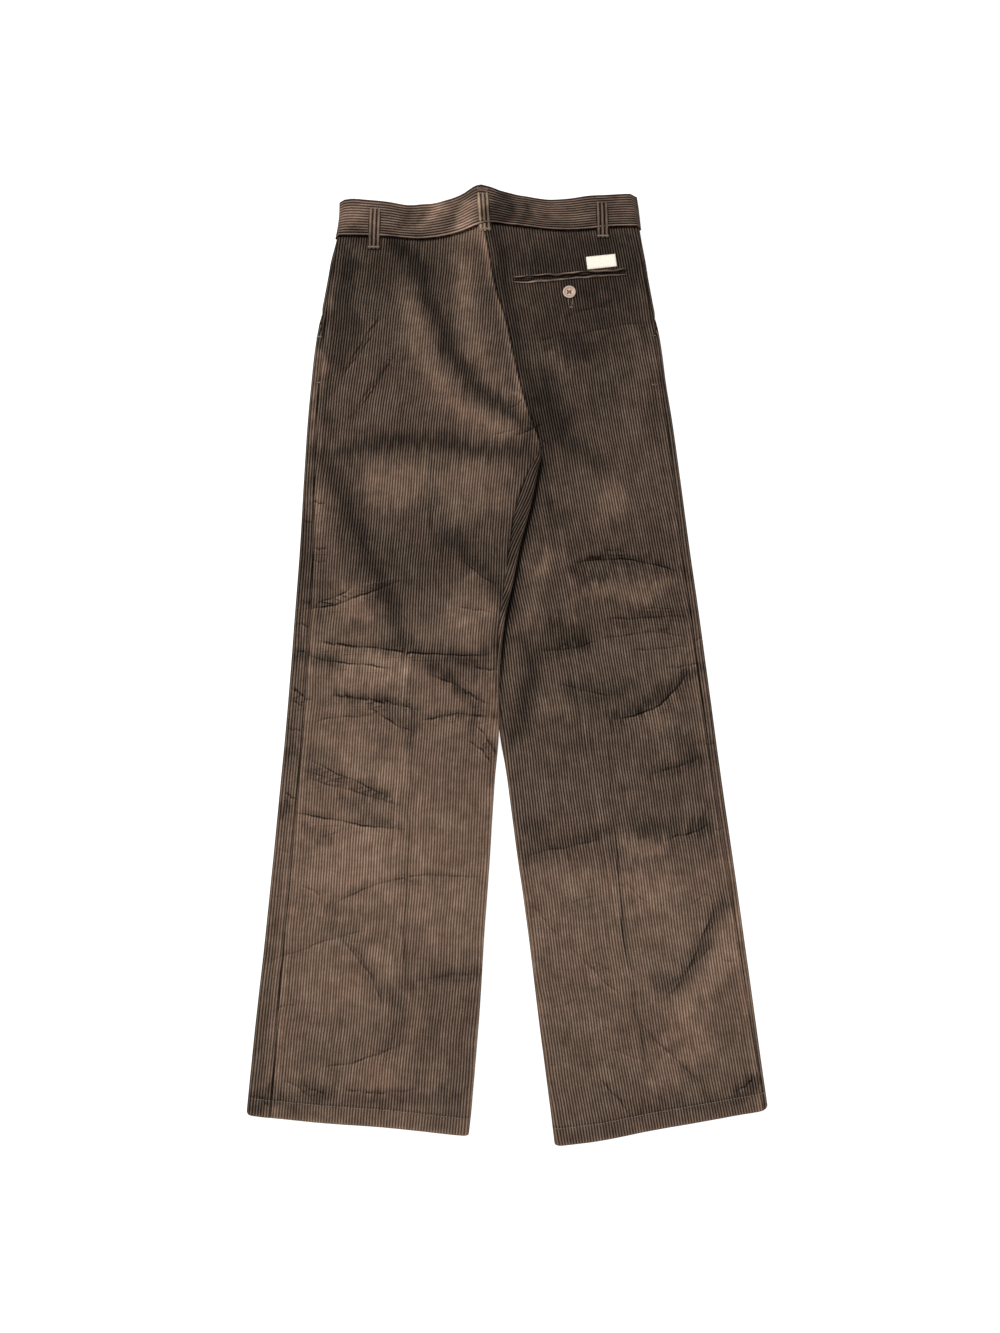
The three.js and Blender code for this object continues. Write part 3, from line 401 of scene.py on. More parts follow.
def topSurface(half, x, y, fine=True):
    # height of the cloth seen from above at any x, y of a half
    top = topHeight(half, x, y)
    if fine:
        top = top + fineHeight(half, x, y)
    edge = half["edge"](y)
    fold = half["fold"](np.minimum(y, cut["crotchY"]))
    sharp = 1.0 if half["name"] == "left" else ease(cut["crotchY"], 203, y)
    outer = overEdge(half, edge, x, y, top)
    inner = np.where(y < cut["crotchY"], overEdge(half, fold, x, y, top, sharp), top)
    return np.where(np.abs(x - edge) < np.abs(x - fold), outer, inner)


def rowHeight(half, x, y, front):
    # rows bend to the hem line at the bottom and to the band's seam at the top
    hemShare = np.clip((-250 - y) / (-250 - cut["hemY"]), 0, 1)
    waistShare = np.clip((y - 400) / (cut["waistY"] - 400), 0, 1)
    waist = bandLower(x)
    if front:
        waist = bandLower(half["edge"](cut["waistY"])) - dipAt(half, x)
    return y + hemShare * (half["hem"](x) - cut["hemY"]) + waistShare * (waist - cut["waistY"])


def dipAt(half, x):
    return cut["frontDip"] * np.abs(x - half["edge"](cut["waistY"])) / cut["frontHalfWidth"]


# Mesh building
def newObject(name, points, triangles, material, uv=None, tint=None):
    # points in millimetres before the solids' shift; unused ones are dropped
    used, where = np.unique(triangles, return_inverse=True)
    triangles = where.reshape(triangles.shape).astype(np.int32)
    points = (points[used] + (shiftX, shiftY, 0)) * mm
    a, b, c = (points[triangles[:, i]] for i in range(3))
    if np.einsum("ij,ij->", a, np.cross(b, c)) < 0:
        triangles = triangles[:, ::-1]
    mesh = bpy.data.meshes.new(name)
    mesh.vertices.add(len(points))
    mesh.vertices.foreach_set("co", points.astype(np.float32).ravel())
    mesh.loops.add(triangles.size)
    mesh.loops.foreach_set("vertex_index", triangles.ravel())
    mesh.polygons.add(len(triangles))
    mesh.polygons.foreach_set("loop_start", np.arange(0, triangles.size, 3, dtype=np.int32))
    mesh.update(calc_edges=True)
    mesh.polygons.foreach_set("use_smooth", np.ones(len(triangles), bool))
    if uv is not None:
        layer = mesh.uv_layers.new(name="cloth")
        layer.data.foreach_set("uv", uv[used][triangles.ravel()].astype(np.float32).ravel())
    if tint is not None:
        layer = mesh.color_attributes.new("tint", "FLOAT_COLOR", "POINT")
        layer.data.foreach_set("color", tint[used].astype(np.float32).ravel())
    mesh.validate()
    mesh.materials.append(material)
    piece = bpy.data.objects.new(name, mesh)
    bpy.context.scene.collection.objects.link(piece)
    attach(piece, "root")
    return piece


def gridNormals(grid):
    # unit normals of a grid of points, columns crossed with rows
    along = np.gradient(grid, axis=1)
    up = np.gradient(grid, axis=0)
    normal = np.cross(along, up)
    return normal / np.maximum(np.linalg.norm(normal, axis=2, keepdims=True), 1e-9)


def closedShell(outer, first, last, inner):
    # triangles of a fine outer grid, whose rows run from column first to last, closed by a coarse inner grid
    rows, columns = outer.shape[:2]
    cells = inner.shape[1] - 1
    base = np.arange(rows)[:, None]
    out = np.clip(np.arange(columns)[None, :], first[:, None], last[:, None]) + base * columns
    ins = np.arange(cells + 1)[None, :] + base * (cells + 1) + rows * columns

    def quads(grid, turned):
        a, b, c, d = grid[:-1, :-1].ravel(), grid[:-1, 1:].ravel(), grid[1:, 1:].ravel(), grid[1:, :-1].ravel()
        pair = np.concatenate([np.stack([a, b, c], 1), np.stack([a, c, d], 1)])
        return pair[:, ::-1] if turned else pair

    leftOut, rightOut = out[base[:, 0], first], out[base[:, 0], last]
    walls = [
        quads(np.stack([ins[:, 0], leftOut], 1), False),
        quads(np.stack([rightOut, ins[:, -1]], 1), False),
    ]
    caps = []
    for row, turned in ((0, True), (rows - 1, False)):
        o = out[row, first[row]:last[row] + 1]
        c = np.round(np.linspace(0, cells, len(o))).astype(int)
        i = ins[row][c]
        near = np.stack([o[:-1], o[1:], i[:-1]], 1)
        far = np.stack([o[1:], i[1:], i[:-1]], 1)
        pair = np.concatenate([near, far])
        caps.append(pair[:, ::-1] if turned else pair)
    faces = np.concatenate([quads(out, False), quads(ins, True), *walls, *caps])
    real = (faces[:, 0] != faces[:, 1]) & (faces[:, 1] != faces[:, 2]) & (faces[:, 2] != faces[:, 0])
    return faces[real]


def waleDrop(phase):
    # how far the cloth lies below a wale's crest; phase counts wales, the valley is at whole numbers
    t = np.abs((phase % 1.0) - 0.5) * 2
    return wale["depth"] * t ** 2.2


def waleWander(along, y):
    # wales drift sideways by up to 0.7 mm, neighbours together
    slow = 0.55 * np.sin(y / 24 + 1.4 * np.sin(along / 37) + 0.9 * np.sin(y / 61))
    return slow + 0.16 * np.sin(y / 9.1 + along / 26) + 0.05 * np.sin(y / 4.3 - along / 17)


def panelRows(step):
    # heights of a panel's rows: close together at the hem's edge and along its stitching
    hem = cut["hemY"] + np.array([0, 0.35, 0.9, 1.8, 3.5, 6.5, 10, 13.5, 16, 17.3, 18.5, 19.7, 21.2, 24])
    count = int(round((cut["waistY"] - 0.15 - hem[-1]) / step))
    return np.concatenate([hem, np.linspace(hem[-1], cut["waistY"] - 0.15, count + 1)[1:]])


def edgeRoll(grid, normal, y, half, sign, wall):
    # rounds the cloth over at the hem's edge
    down = np.clip(1 - (y - half["hem"](grid[..., 0])) / 1.6, 0, 1)
    return grid - sign * normal * (0.5 * wall * (1 - np.sqrt(np.maximum(1 - down ** 2, 0))))[..., None]


# Painted light and shade: tones of the nap's sheen and of the folds' shading, listed where the pile looks lighter or
# darker. A tone is a natural logarithm:
# 0 is plain, -0.7 is half as light.
toneRows = {
    "left": [(560, -0.3), (515, -0.3), (490, -0.5), (452, -0.68), (390, -0.46), (300, -0.38), (250, -0.36), (200, -0.2),
             (100, -0.38), (50, -0.18), (0, 0.13), (-70, 0.2), (-130, 0.2), (-250, 0.34), (-360, 0.29), (-480, 0.22),
             (-540, 0.2)],
    "right": [(560, -0.5), (515, -0.6), (490, -0.8), (452, -0.82), (335, -0.54), (218, -0.5), (137, -0.36), (44, -0.22),
              (-20, -0.15), (-70, -0.17), (-155, -0.06), (-225, -0.02), (-280, 0.24), (-360, 0.25), (-480, 0.15),
              (-550, 0.0)],
}
patches = [  # picture place, reach along and across, turn in degrees, tone
    (343, 290, 15, 62, 8, -0.6), (332, 345, 12, 40, 8, -0.5), (326, 400, 9, 40, 4, -0.35), (350, 240, 22, 14, 0, -0.5),
    (392, 268, 34, 36, 0, -0.25), (404, 248, 22, 12, 0, -0.3), (472, 262, 22, 50, 4, 0.45), (470, 330, 18, 40, 14, 0.15),
    (392, 484, 46, 24, 0, 0.34), (470, 492, 36, 34, 0, 0.3), (352, 606, 24, 18, -20, 0.3),
    (472, 598, 28, 34, 0, 0.35), (405, 570, 34, 40, 10, -0.1), (590, 265, 70, 34, 0, -0.35), (585, 322, 50, 40, 10, -0.3),
    (548, 420, 22, 40, -10, -0.45), (575, 350, 26, 16, 0, -0.3), (562, 366, 24, 14, 0, 0.25), (636, 392, 16, 66, -8, 0.2),
    (611, 500, 15, 26, 0, 0.25), (592, 486, 44, 30, 0, 0.12), (540, 562, 17, 18, 0, 0.25), (620, 590, 42, 13, 0, 0.4),
    (656, 580, 18, 10, 0, 0.3), (566, 634, 22, 15, 0, -0.5), (590, 575, 20, 8, 0, -0.3), (640, 640, 50, 22, 0, 0.1),
    (456, 668, 36, 15, 0, -0.35), (372, 672, 38, 17, 10, 0.35), (482, 730, 12, 18, 0, 0.3), (366, 764, 44, 20, 10, 0.2),
    (395, 778, 20, 16, 0, 0.25), (340, 738, 34, 12, 0, 0.15), (287, 755, 8, 9, 0, -0.5), (286, 808, 9, 9, 0, -0.5),
    (318, 834, 18, 8, -8, -0.35), (352, 862, 50, 32, 14, 0.28), (380, 880, 26, 16, 0, 0.1), (325, 905, 12, 6, 0, -0.25),
    (335, 975, 30, 40, 0, 0.15), (386, 964, 16, 18, 0, 0.25), (458, 1030, 44, 80, 0, -0.25), (262, 1100, 13, 15, 0, -0.6),
    (376, 1076, 20, 15, 0, 0.2), (440, 1086, 11, 22, 0, 0.2), (450, 900, 40, 40, 0, 0.05), (600, 690, 34, 14, 0, -0.3),
    (556, 702, 14, 20, 0, 0.2), (580, 742, 14, 16, 0, -0.2), (652, 722, 26, 12, -20, 0.25), (680, 742, 15, 13, 0, -0.3),
    (697, 756, 13, 12, 0, -0.3), (532, 826, 13, 13, 0, -0.4), (700, 829, 17, 8, 0, -0.7), (636, 844, 28, 10, -12, 0.45),
    (562, 872, 30, 17, 0, 0.12), (650, 888, 36, 16, 0, 0.3), (725, 890, 13, 14, 0, -0.3), (646, 980, 13, 12, 0, 0.2),
    (690, 1036, 28, 30, 0, 0.25), (662, 1070, 27, 17, 0, 0.2), (752, 1081, 8, 9, 0, -0.8), (575, 930, 34, 24, 0, -0.06),
    (352, 216, 20, 14, 0, 0.35), (392, 222, 14, 14, 0, -0.2), (432, 214, 16, 12, 30, 0.3), (466, 212, 18, 16, 0, 0.5),
    (500, 216, 13, 22, 0, -0.8), (522, 212, 10, 12, 0, -0.2), (566, 214, 32, 14, 0, 0.25), (622, 211, 14, 14, 0, 0.15),
    (540, 245, 20, 10, 0, 0.25), (610, 330, 40, 10, -10, 0.15), (560, 520, 20, 30, 0, -0.1), (660, 470, 24, 40, 0, 0.1), (680, 700, 26, 60, 0, 0.15), (350, 500, 14, 40, 0, -0.3),
    (620, 470, 50, 60, 0, 0.12), (523, 455, 9, 22, 0, -0.35),
]
streaks = [  # tone, width, then picture places along the streak
    (-0.75, 8, (392, 244), (418, 262), (430, 300), (445, 340), (462, 370), (490, 398), (516, 418), (530, 421)),
    (0.5, 15, (405, 288), (415, 330), (435, 380), (470, 415), (505, 436)),
    (0.35, 14, (458, 270), (464, 312), (480, 360), (500, 394), (522, 414)),
    (-0.65, 8, (342, 454), (375, 443), (420, 440), (460, 446), (500, 452), (520, 446)),
    (-0.6, 9, (324, 452), (338, 492), (358, 530), (376, 574), (392, 606), (403, 640)),
    (0.35, 14, (316, 505), (330, 560), (350, 600)),
    (-0.55, 8, (440, 546), (456, 537), (466, 555), (486, 570), (500, 594), (508, 606)),
    (-0.4, 6, (544, 470), (549, 500), (556, 520)),
    (0.3, 5, (549, 552), (535, 592), (526, 640)),
    (-0.45, 13, (546, 384), (549, 420), (570, 442), (597, 466)),
    (-0.45, 7, (499, 240), (503, 270), (511, 315), (524, 365), (534, 402)),
    (-0.5, 4, (570, 568), (590, 560), (620, 557), (650, 560), (690, 576)),
    (-0.25, 6, (600, 621), (640, 618), (690, 617)),
    (-0.5, 7, (298, 655), (330, 660)),
    (-0.45, 8, (386, 645), (430, 650), (470, 660), (494, 650)),
    (-0.35, 4, (335, 697), (380, 700), (415, 707)),
    (-0.3, 6, (378, 700), (395, 715), (412, 725)),
    (-0.5, 5, (430, 665), (452, 681), (470, 700), (476, 712)),
    (-0.3, 3, (415, 715), (500, 717)),
    (-0.3, 5, (474, 724), (497, 757)),
    (-0.25, 6, (310, 770), (350, 785), (386, 796)),
    (-0.25, 5, (340, 800), (396, 830)),
    (-0.18, 2, (412, 640), (411, 730), (408, 830), (405, 920), (402, 1010), (398, 1060)),
    (-0.25, 3, (330, 902), (360, 886), (410, 879), (480, 875)),
    (-0.2, 8, (343, 938), (365, 966), (385, 990), (400, 1004)),
    (-0.3, 6, (408, 981), (480, 975)),
    (-0.25, 9, (394, 1000), (392, 1050)),
    (-0.3, 8, (285, 1100), (330, 1101), (400, 1100), (455, 1096)),
    (-0.4, 6, (300, 1083), (326, 1096)),
    (-0.6, 9, (526, 640), (531, 680), (521, 715), (514, 732)),
    (-0.45, 9, (540, 655), (582, 640)),
    (-0.6, 4, (608, 716), (640, 710), (660, 696), (680, 681), (702, 667)),
    (-0.35, 7, (690, 760), (650, 775)),
    (-0.4, 8, (524, 856), (560, 846), (600, 835), (640, 828), (672, 826)),
    (-0.22, 2, (606, 830), (612, 850), (620, 900), (628, 960), (636, 1000), (646, 1062)),
    (-0.45, 8, (721, 903), (702, 948), (682, 980), (660, 986)),
    (0.4, 10, (746, 900), (726, 950), (705, 985), (682, 1008)),
    (-0.22, 3, (650, 1040), (680, 1065), (706, 1090)),
    (-0.5, 7, (752, 1080), (736, 1093)),
    (-0.3, 7, (636, 1111), (700, 1105), (742, 1098)),
    (0.35, 4, (342, 250), (330, 320), (318, 400), (312, 440)),
    (-0.2, 3, (433, 462), (433, 540)),
    (0.25, 2, (548, 472), (566, 560), (580, 640)),
    (-0.5, 3, (503, 227), (512, 209)), (-0.5, 3, (519, 228), (530, 203)), (-0.4, 2, (540, 225), (547, 216)),
    (-0.4, 3, (403, 230), (410, 212)), (0.35, 4, (420, 229), (440, 208)), (-0.35, 2, (413, 229), (427, 210)),
    (-0.3, 3, (446, 228), (459, 205)), (0.3, 3, (528, 222), (538, 207)), (-0.3, 2, (556, 227), (560, 218)),
    (-0.35, 3, (622, 246), (640, 236)), (0.5, 1.5, (513, 394), (528, 398)), (0.45, 1.2, (532, 395), (534, 403)),
    (0.35, 1.2, (562, 310), (560, 340), (561, 372)), (-0.7, 1.6, (570.2, 298), (570.4, 306)),
]
placedPatches = [(*seenAt(u, v), *row) for u, v, *row in patches]
placedStreaks = [(tone, width, [seenAt(u, v) for u, v in way]) for tone, width, *way in streaks]
toneCurves = {side: curveThrough(toneRows[side]) for side in toneRows}


def waleJitter(count):
    # a different step along each wale, so that shades end raggedly
    index = np.floor(count)
    return 4.8 * np.sin(index * 2.4) * np.sin(index * 0.73 + 1.0) + 2.4 * np.sin(index * 5.1)


def toneAt(x, y):
    # painted light and shade as a sum of soft ellipses and of streaks round polylines, both bent a little so that no
    # border is smooth
    wx = x + 6.5 * np.sin(y / 15 + 1.8 * np.sin(x / 21)) + 3.0 * np.sin(y / 5.7 + x / 13)
    wy = y + 5.0 * np.sin(x / 12 + 1.4 * np.sin(y / 23)) + 2.4 * np.sin(x / 4.6 - y / 17)
    tone = np.where(x < centreBack(np.maximum(y, cut["crotchY"])), toneCurves["left"](y), toneCurves["right"](y))
    tone = np.where((y < cut["crotchY"]) & (x > rightFold(y)), toneCurves["right"](y), tone)
    tone = tone + 0.06 * ease(-150, -50, y) + 0.13 * ease(60, 230, y)
    baseTone = tone.copy()
    for px, py, reachX, reachY, turn, amount in placedPatches:
        near = (np.abs(wx - px) < 1.6 * (reachX + reachY)) & (np.abs(wy - py) < 1.6 * (reachX + reachY))
        if not near.any():
            continue
        c, s = math.cos(math.radians(turn)), math.sin(math.radians(turn))
        a = ((wx[near] - px) * c + (wy[near] - py) * s) / (1.16 * reachX)
        b = ((wy[near] - py) * c - (wx[near] - px) * s) / (1.16 * reachY)
        tone[near] += 0.85 * amount * ease(1.2, 0.7, np.sqrt(a * a + b * b))
    wx = x + 2.2 * np.sin(y / 11 + 1.3 * np.sin(x / 19)) + 1.2 * np.sin(y / 4.3 + x / 13)
    wy = y + 1.8 * np.sin(x / 9.5 + 0.8 * np.sin(y / 23)) + 1.1 * np.sin(x / 3.9 - y / 17)
    tone = lerp(tone, baseTone, 0.3 * ease(-180, -260, y))
    before = tone.copy()
    for amount, width, way in placedStreaks:
        reach = 1.16 * width
        low = [min(p[i] for p in way) - 3 * reach for i in (0, 1)]
        high = [max(p[i] for p in way) + 3 * reach for i in (0, 1)]
        near = (wx > low[0]) & (wx < high[0]) & (wy > low[1]) & (wy < high[1])
        if not near.any():
            continue
        qx, qy = wx[near], wy[near]
        best = np.full(qx.shape, 1e9)
        for (ax, ay), (bx, by) in zip(way[:-1], way[1:]):
            dx, dy = bx - ax, by - ay
            t = np.clip(((qx - ax) * dx + (qy - ay) * dy) / (dx * dx + dy * dy), 0, 1)
            best = np.minimum(best, np.hypot(qx - ax - t * dx, qy - ay - t * dy))
        tone[near] += amount * bell(best, reach)
    return lerp(tone, before, 0.3 * ease(-180, -260, y))


def seamShading(half, x, y):
    # painted highlights on the strips over the seam allowances, painted shade in the nick along each seam and along the
    # inseam, a painted highlight along the inner fold, a pale line at the hem's edge with painted shade in its stitch
    # groove, and the painted shadow of the left leg's raised edge on the right leg
    off = np.abs(x - half["seam"](y))
    side = 0.16 * ease(9, 6.5, off) * ease(1.0, 3.0, off) - 0.6 * bell(off, 0.9)
    middle = np.abs(x - centreBack(y))
    # one side of the centre back seam is lighter and the other darker: painted light and shade
    left = 0.3 * ease(10, 7, middle) * ease(1, 3, middle) * (1 if half["name"] == "left" else -0.6)
    if half["name"] == "left":
        left = left + (0.45 + 0.25 * np.sin(y / 2.1)) * bell(middle - 3.3, 0.9)
    centre = (left - 0.8 * bell(middle, 1.2)) * ease(225, 240, y)
    inner = np.abs(x - half["fold"](np.minimum(y, cut["crotchY"])))
    # painted highlight along the inner folded edge
    foldHighlight = 0.25 * bell(inner - 1.5, 2.2) * ease(235, 215, y)
    hem = 0.2 * bell(y - half["hem"](x) - 1.0, 2.0) - 0.3 * bell(y - half["hem"](x) - cut["hemDepth"] - 1.4, 1.2)
    inseam = -1.0 * bell(inner - half["inseamIn"](y), 1.5) * ease(228, 205, y) * ease(60, 130, y)
    gap = 0.0
    # painted shadow cast by the left leg's raised fold edge onto the right leg
    if half["name"] == "right":
        beyond = x - halves["left"]["fold"](y)
        gap = (-0.35 * ease(14, 6, beyond) - 1.9 * ease(5.5, 2.5, beyond)) * ease(232, 190, y) * ease(-75, 20, y) * (beyond > -2)
    return side * ease(478, 465, y) + centre + foldHighlight + hem + inseam + gap


def tintAt(x, y, half=None, count=None, extra=0.0):
    # tone of painted light and shade as a factor, then the distance in millimetres to the nearest crease and its
    # strength, for the crease's painted shade line
    x, y = np.broadcast_arrays(np.asarray(x, float), np.asarray(y, float))
    jitter = 0.0 if count is None else waleJitter(count)
    tone = toneAt(x, y + jitter) + extra
    if half is not None:
        tone = tone + seamShading(half, x, y)
    nearest, strength = creaseField(x, y)
    return np.stack([np.exp(tone), nearest, strength, np.ones(x.shape)], -1)


# Materials
def node(tree, kind, **values):
    made = tree.nodes.new(kind)
    for name, value in values.items():
        setattr(made, name, value)
    return made


def link(tree, source, target):
    tree.links.new(source, target)


def clothMaterial(name, crest, valleyShade, fuzz=1.0, along="U"):
    # corduroy: pale crest and dark valley from the wale count in the UV map, the valley's dark partly the cloth's own
    # colour and partly painted shade in the grooves, nap and wear from noise
    material = bpy.data.materials.new(name)
    material.use_nodes = True
    tree = material.node_tree
    tree.nodes.clear()
    outputNode = node(tree, "ShaderNodeOutputMaterial")
    shader = node(tree, "ShaderNodeBsdfPrincipled")
    shader.inputs["Roughness"].default_value = 0.92
    shader.inputs["Specular IOR Level"].default_value = 0.05
    shader.inputs["Sheen Weight"].default_value = 0.03
    shader.inputs["Sheen Roughness"].default_value = 0.45
    shader.inputs["Sheen Tint"].default_value = (0.55, 0.42, 0.34, 1)
    link(tree, shader.outputs[0], outputNode.inputs[0])

    def maths(operation, a, b=None, clamp=False):
        made = node(tree, "ShaderNodeMath", operation=operation, use_clamp=clamp)
        for socket, value in zip(made.inputs, (a, b)):
            if value is None:
                continue
            if isinstance(value, (int, float)):
                socket.default_value = value
            else:
                link(tree, value, socket)
        return made.outputs[0]

    def mix(factor, a, b, blend="MIX"):
        made = node(tree, "ShaderNodeMix", data_type="RGBA", blend_type=blend)
        for socket, value in ((made.inputs["Factor"], factor), (made.inputs[6], a), (made.inputs[7], b)):
            if isinstance(value, (int, float)):
                socket.default_value = value
            elif isinstance(value, tuple):
                socket.default_value = (*value, 1)
            else:
                link(tree, value, socket)
        return made.outputs[2]

    def noise(vector, scale, detail=2.0, roughness=0.5):
        made = node(tree, "ShaderNodeTexNoise")
        link(tree, vector, made.inputs["Vector"])
        made.inputs["Scale"].default_value = scale
        made.inputs["Detail"].default_value = detail
        made.inputs["Roughness"].default_value = roughness
        return made.outputs[0]

    uvNode = node(tree, "ShaderNodeUVMap", uv_map="cloth")
    place = node(tree, "ShaderNodeSeparateXYZ")
    link(tree, uvNode.outputs[0], place.inputs[0])
    objectPlace = node(tree, "ShaderNodeTexCoord").outputs["Object"]
    tintNode = node(tree, "ShaderNodeAttribute", attribute_name="tint")
    tint = node(tree, "ShaderNodeSeparateColor")
    link(tree, tintNode.outputs["Color"], tint.inputs[0])

    wander = maths("MULTIPLY", maths("SUBTRACT", noise(objectPlace, 260, 2), 0.5), 0.22)
    phase = maths("FRACT", maths("ADD", place.outputs[0], wander))
    off = maths("MULTIPLY", maths("ABSOLUTE", maths("SUBTRACT", phase, 0.5)), 2.0)
    crestShare = node(tree, "ShaderNodeMapRange", interpolation_type="SMOOTHSTEP")
    link(tree, off, crestShare.inputs[0])
    for socket, value in zip(list(crestShare.inputs)[1:5], (0.0, 0.84, 1.0, 0.0)):
        socket.default_value = value

    # each wale is worn by its own amount, slowly changing along its length
    def alongWale(spread, stretch):
        row = node(tree, "ShaderNodeCombineXYZ")
        link(tree, maths("MULTIPLY", maths("FLOOR", place.outputs[0]), spread), row.inputs[0])
        link(tree, maths("MULTIPLY", place.outputs[1], stretch), row.inputs[1])
        return noise(row.outputs[0], 1.0, 2.0, 0.6)

    streak = alongWale(7.31, 0.06)
    worn = alongWale(3.17, 0.13)
    stretched = node(tree, "ShaderNodeMapping")
    link(tree, uvNode.outputs[0], stretched.inputs[0])
    stretched.inputs["Scale"].default_value = (5.0, 1.6, 1.0)
    nap = noise(stretched.outputs[0], 1.0, 3.0, 0.65)
    cloudy = noise(objectPlace, 30, 4.0, 0.62)
    fine = noise(objectPlace, 1500, 2.0, 0.6)

    # the mix from valley to crest colour: painted shade in the grooves, paler crests, varied by wear
    wearAndGrooveShade = maths("ADD", maths("MULTIPLY", streak, 0.9), maths("MULTIPLY", nap, 0.9))
    wearAndGrooveShade = maths("SUBTRACT", wearAndGrooveShade, 0.12)
    wearAndGrooveShade = maths("MULTIPLY", crestShare.outputs[0], maths("MULTIPLY", wearAndGrooveShade, fuzz * 1.25), True)
    # smudges lie across the wales where the pile has been pressed
    smudgePlace = node(tree, "ShaderNodeMapping")
    link(tree, objectPlace, smudgePlace.inputs[0])
    smudgePlace.inputs["Scale"].default_value = (52.0, 78.0, 52.0)
    smudge = noise(smudgePlace.outputs[0], 1.0, 5.0, 0.66)
    # the valleys take the painted tone squared, so painted shade deepens most in the grooves
    darkest = maths("MINIMUM", maths("MULTIPLY", tint.outputs[0], tint.outputs[0]), 1.9)
    valleyTone = node(tree, "ShaderNodeCombineColor")
    for socket in valleyTone.inputs:
        link(tree, darkest, socket)
    deepValley = mix(1.0, valleyShade, valleyTone.outputs[0], "MULTIPLY")
    colour = mix(wearAndGrooveShade, deepValley, crest)
    # the painted light and shade of the tint attribute, varied by the noises
    tone = maths("MULTIPLY", tint.outputs[0], maths("ADD", maths("MULTIPLY", smudge, 1.3), 0.35))
    tone = maths("MULTIPLY", tone, maths("ADD", maths("MULTIPLY", cloudy, 0.5), 0.75))
    tone = maths("MULTIPLY", tone, maths("ADD", maths("MULTIPLY", fine, 0.3), 0.85))
    tone = maths("MULTIPLY", tone, maths("ADD", maths("MULTIPLY", worn, 0.65), 0.675))
    # a crease is a thin broken dark line of painted shade, with painted shade above it and a painted highlight below it
    def bellOf(distance, reach):
        ratio = maths("DIVIDE", distance, reach)
        return maths("EXPONENT", maths("MULTIPLY", maths("MULTIPLY", ratio, ratio), -1.0))

    rough = maths("MULTIPLY", maths("SUBTRACT", noise(objectPlace, 420, 2), 0.5), 1.3)
    away = maths("ADD", tint.outputs[1], rough)
    broken = maths("ADD", maths("MULTIPLY", maths("SUBTRACT", 1.0, crestShare.outputs[0]), 0.35), 0.62)
    core = maths("MULTIPLY", maths("MULTIPLY", bellOf(away, 0.95), broken), -1.4)
    above = maths("MULTIPLY", bellOf(maths("SUBTRACT", away, 2.4), 2.6), -0.2)
    below = maths("MULTIPLY", bellOf(maths("ADD", away, 2.3), 1.3), 0.26)
    fold = maths("ADD", maths("ADD", core, above), below)
    fold = maths("MAXIMUM", maths("ADD", maths("MULTIPLY", fold, tint.outputs[2]), 1.0), 0.12)
    tone = maths("MULTIPLY", tone, fold)
    toneColour = node(tree, "ShaderNodeCombineColor")
    for socket in toneColour.inputs:
        link(tree, tone, socket)
    colour = mix(1.0, colour, toneColour.outputs[0], "MULTIPLY")
    # the brown is a little redder in places and a little greener in others
    hue = mix(maths("ADD", maths("MULTIPLY", maths("SUBTRACT", noise(objectPlace, 17, 3.0), 0.5), 1.8), 0.5, True),
              (1.025, 0.985, 0.975), (0.965, 1.012, 0.995))
    colour = mix(1.0, colour, hue, "MULTIPLY")
    link(tree, colour, shader.inputs["Base Color"])

    bump = node(tree, "ShaderNodeBump")
    bump.inputs["Strength"].default_value = 0.5
    bump.inputs["Distance"].default_value = 0.0004
    link(tree, maths("ADD", maths("MULTIPLY", fine, 0.6), maths("MULTIPLY", nap, 0.8)), bump.inputs["Height"])
    link(tree, bump.outputs[0], shader.inputs["Normal"])
    return material


def plainMaterial(name, colour, roughness, bumpScale=0.0, sheen=0.0):
    material = bpy.data.materials.new(name)
    material.use_nodes = True
    tree = material.node_tree
    shader = tree.nodes["Principled BSDF"]
    shader.inputs["Roughness"].default_value = roughness
    shader.inputs["Sheen Weight"].default_value = sheen
    coords = node(tree, "ShaderNodeTexCoord")
    cloud = node(tree, "ShaderNodeTexNoise")
    link(tree, coords.outputs["Object"], cloud.inputs["Vector"])
    cloud.inputs["Scale"].default_value = bumpScale or 300
    cloud.inputs["Detail"].default_value = 3
    ramp = node(tree, "ShaderNodeValToRGB")
    ramp.color_ramp.elements[0].color = (*[c * 0.72 for c in colour], 1)
    ramp.color_ramp.elements[1].color = (*[min(c * 1.22, 1) for c in colour], 1)
    link(tree, cloud.outputs[0], ramp.inputs[0])
    link(tree, ramp.outputs[0], shader.inputs["Base Color"])
    if bumpScale:
        bump = node(tree, "ShaderNodeBump")
        bump.inputs["Distance"].default_value = 0.0002
        link(tree, cloud.outputs[0], bump.inputs["Height"])
        link(tree, bump.outputs[0], shader.inputs["Normal"])
    return material


# each valley colour is the cloth's own brown darkened with painted shade for the grooves
corduroy = clothMaterial("corduroy", (0.147, 0.1052, 0.0805), (0.0262, 0.0140, 0.0086))
bandCorduroy = clothMaterial("bandCorduroy", (0.188, 0.132, 0.103), (0.025, 0.0135, 0.0086))
wornCorduroy = clothMaterial("wornCorduroy", (0.30, 0.215, 0.155), (0.085, 0.056, 0.038), 1.2)
threadMaterial = plainMaterial("hemThread", (0.20, 0.145, 0.105), 0.8, 2500)
darkThread = plainMaterial("darkThread", (0.045, 0.032, 0.024), 0.85, 2500)


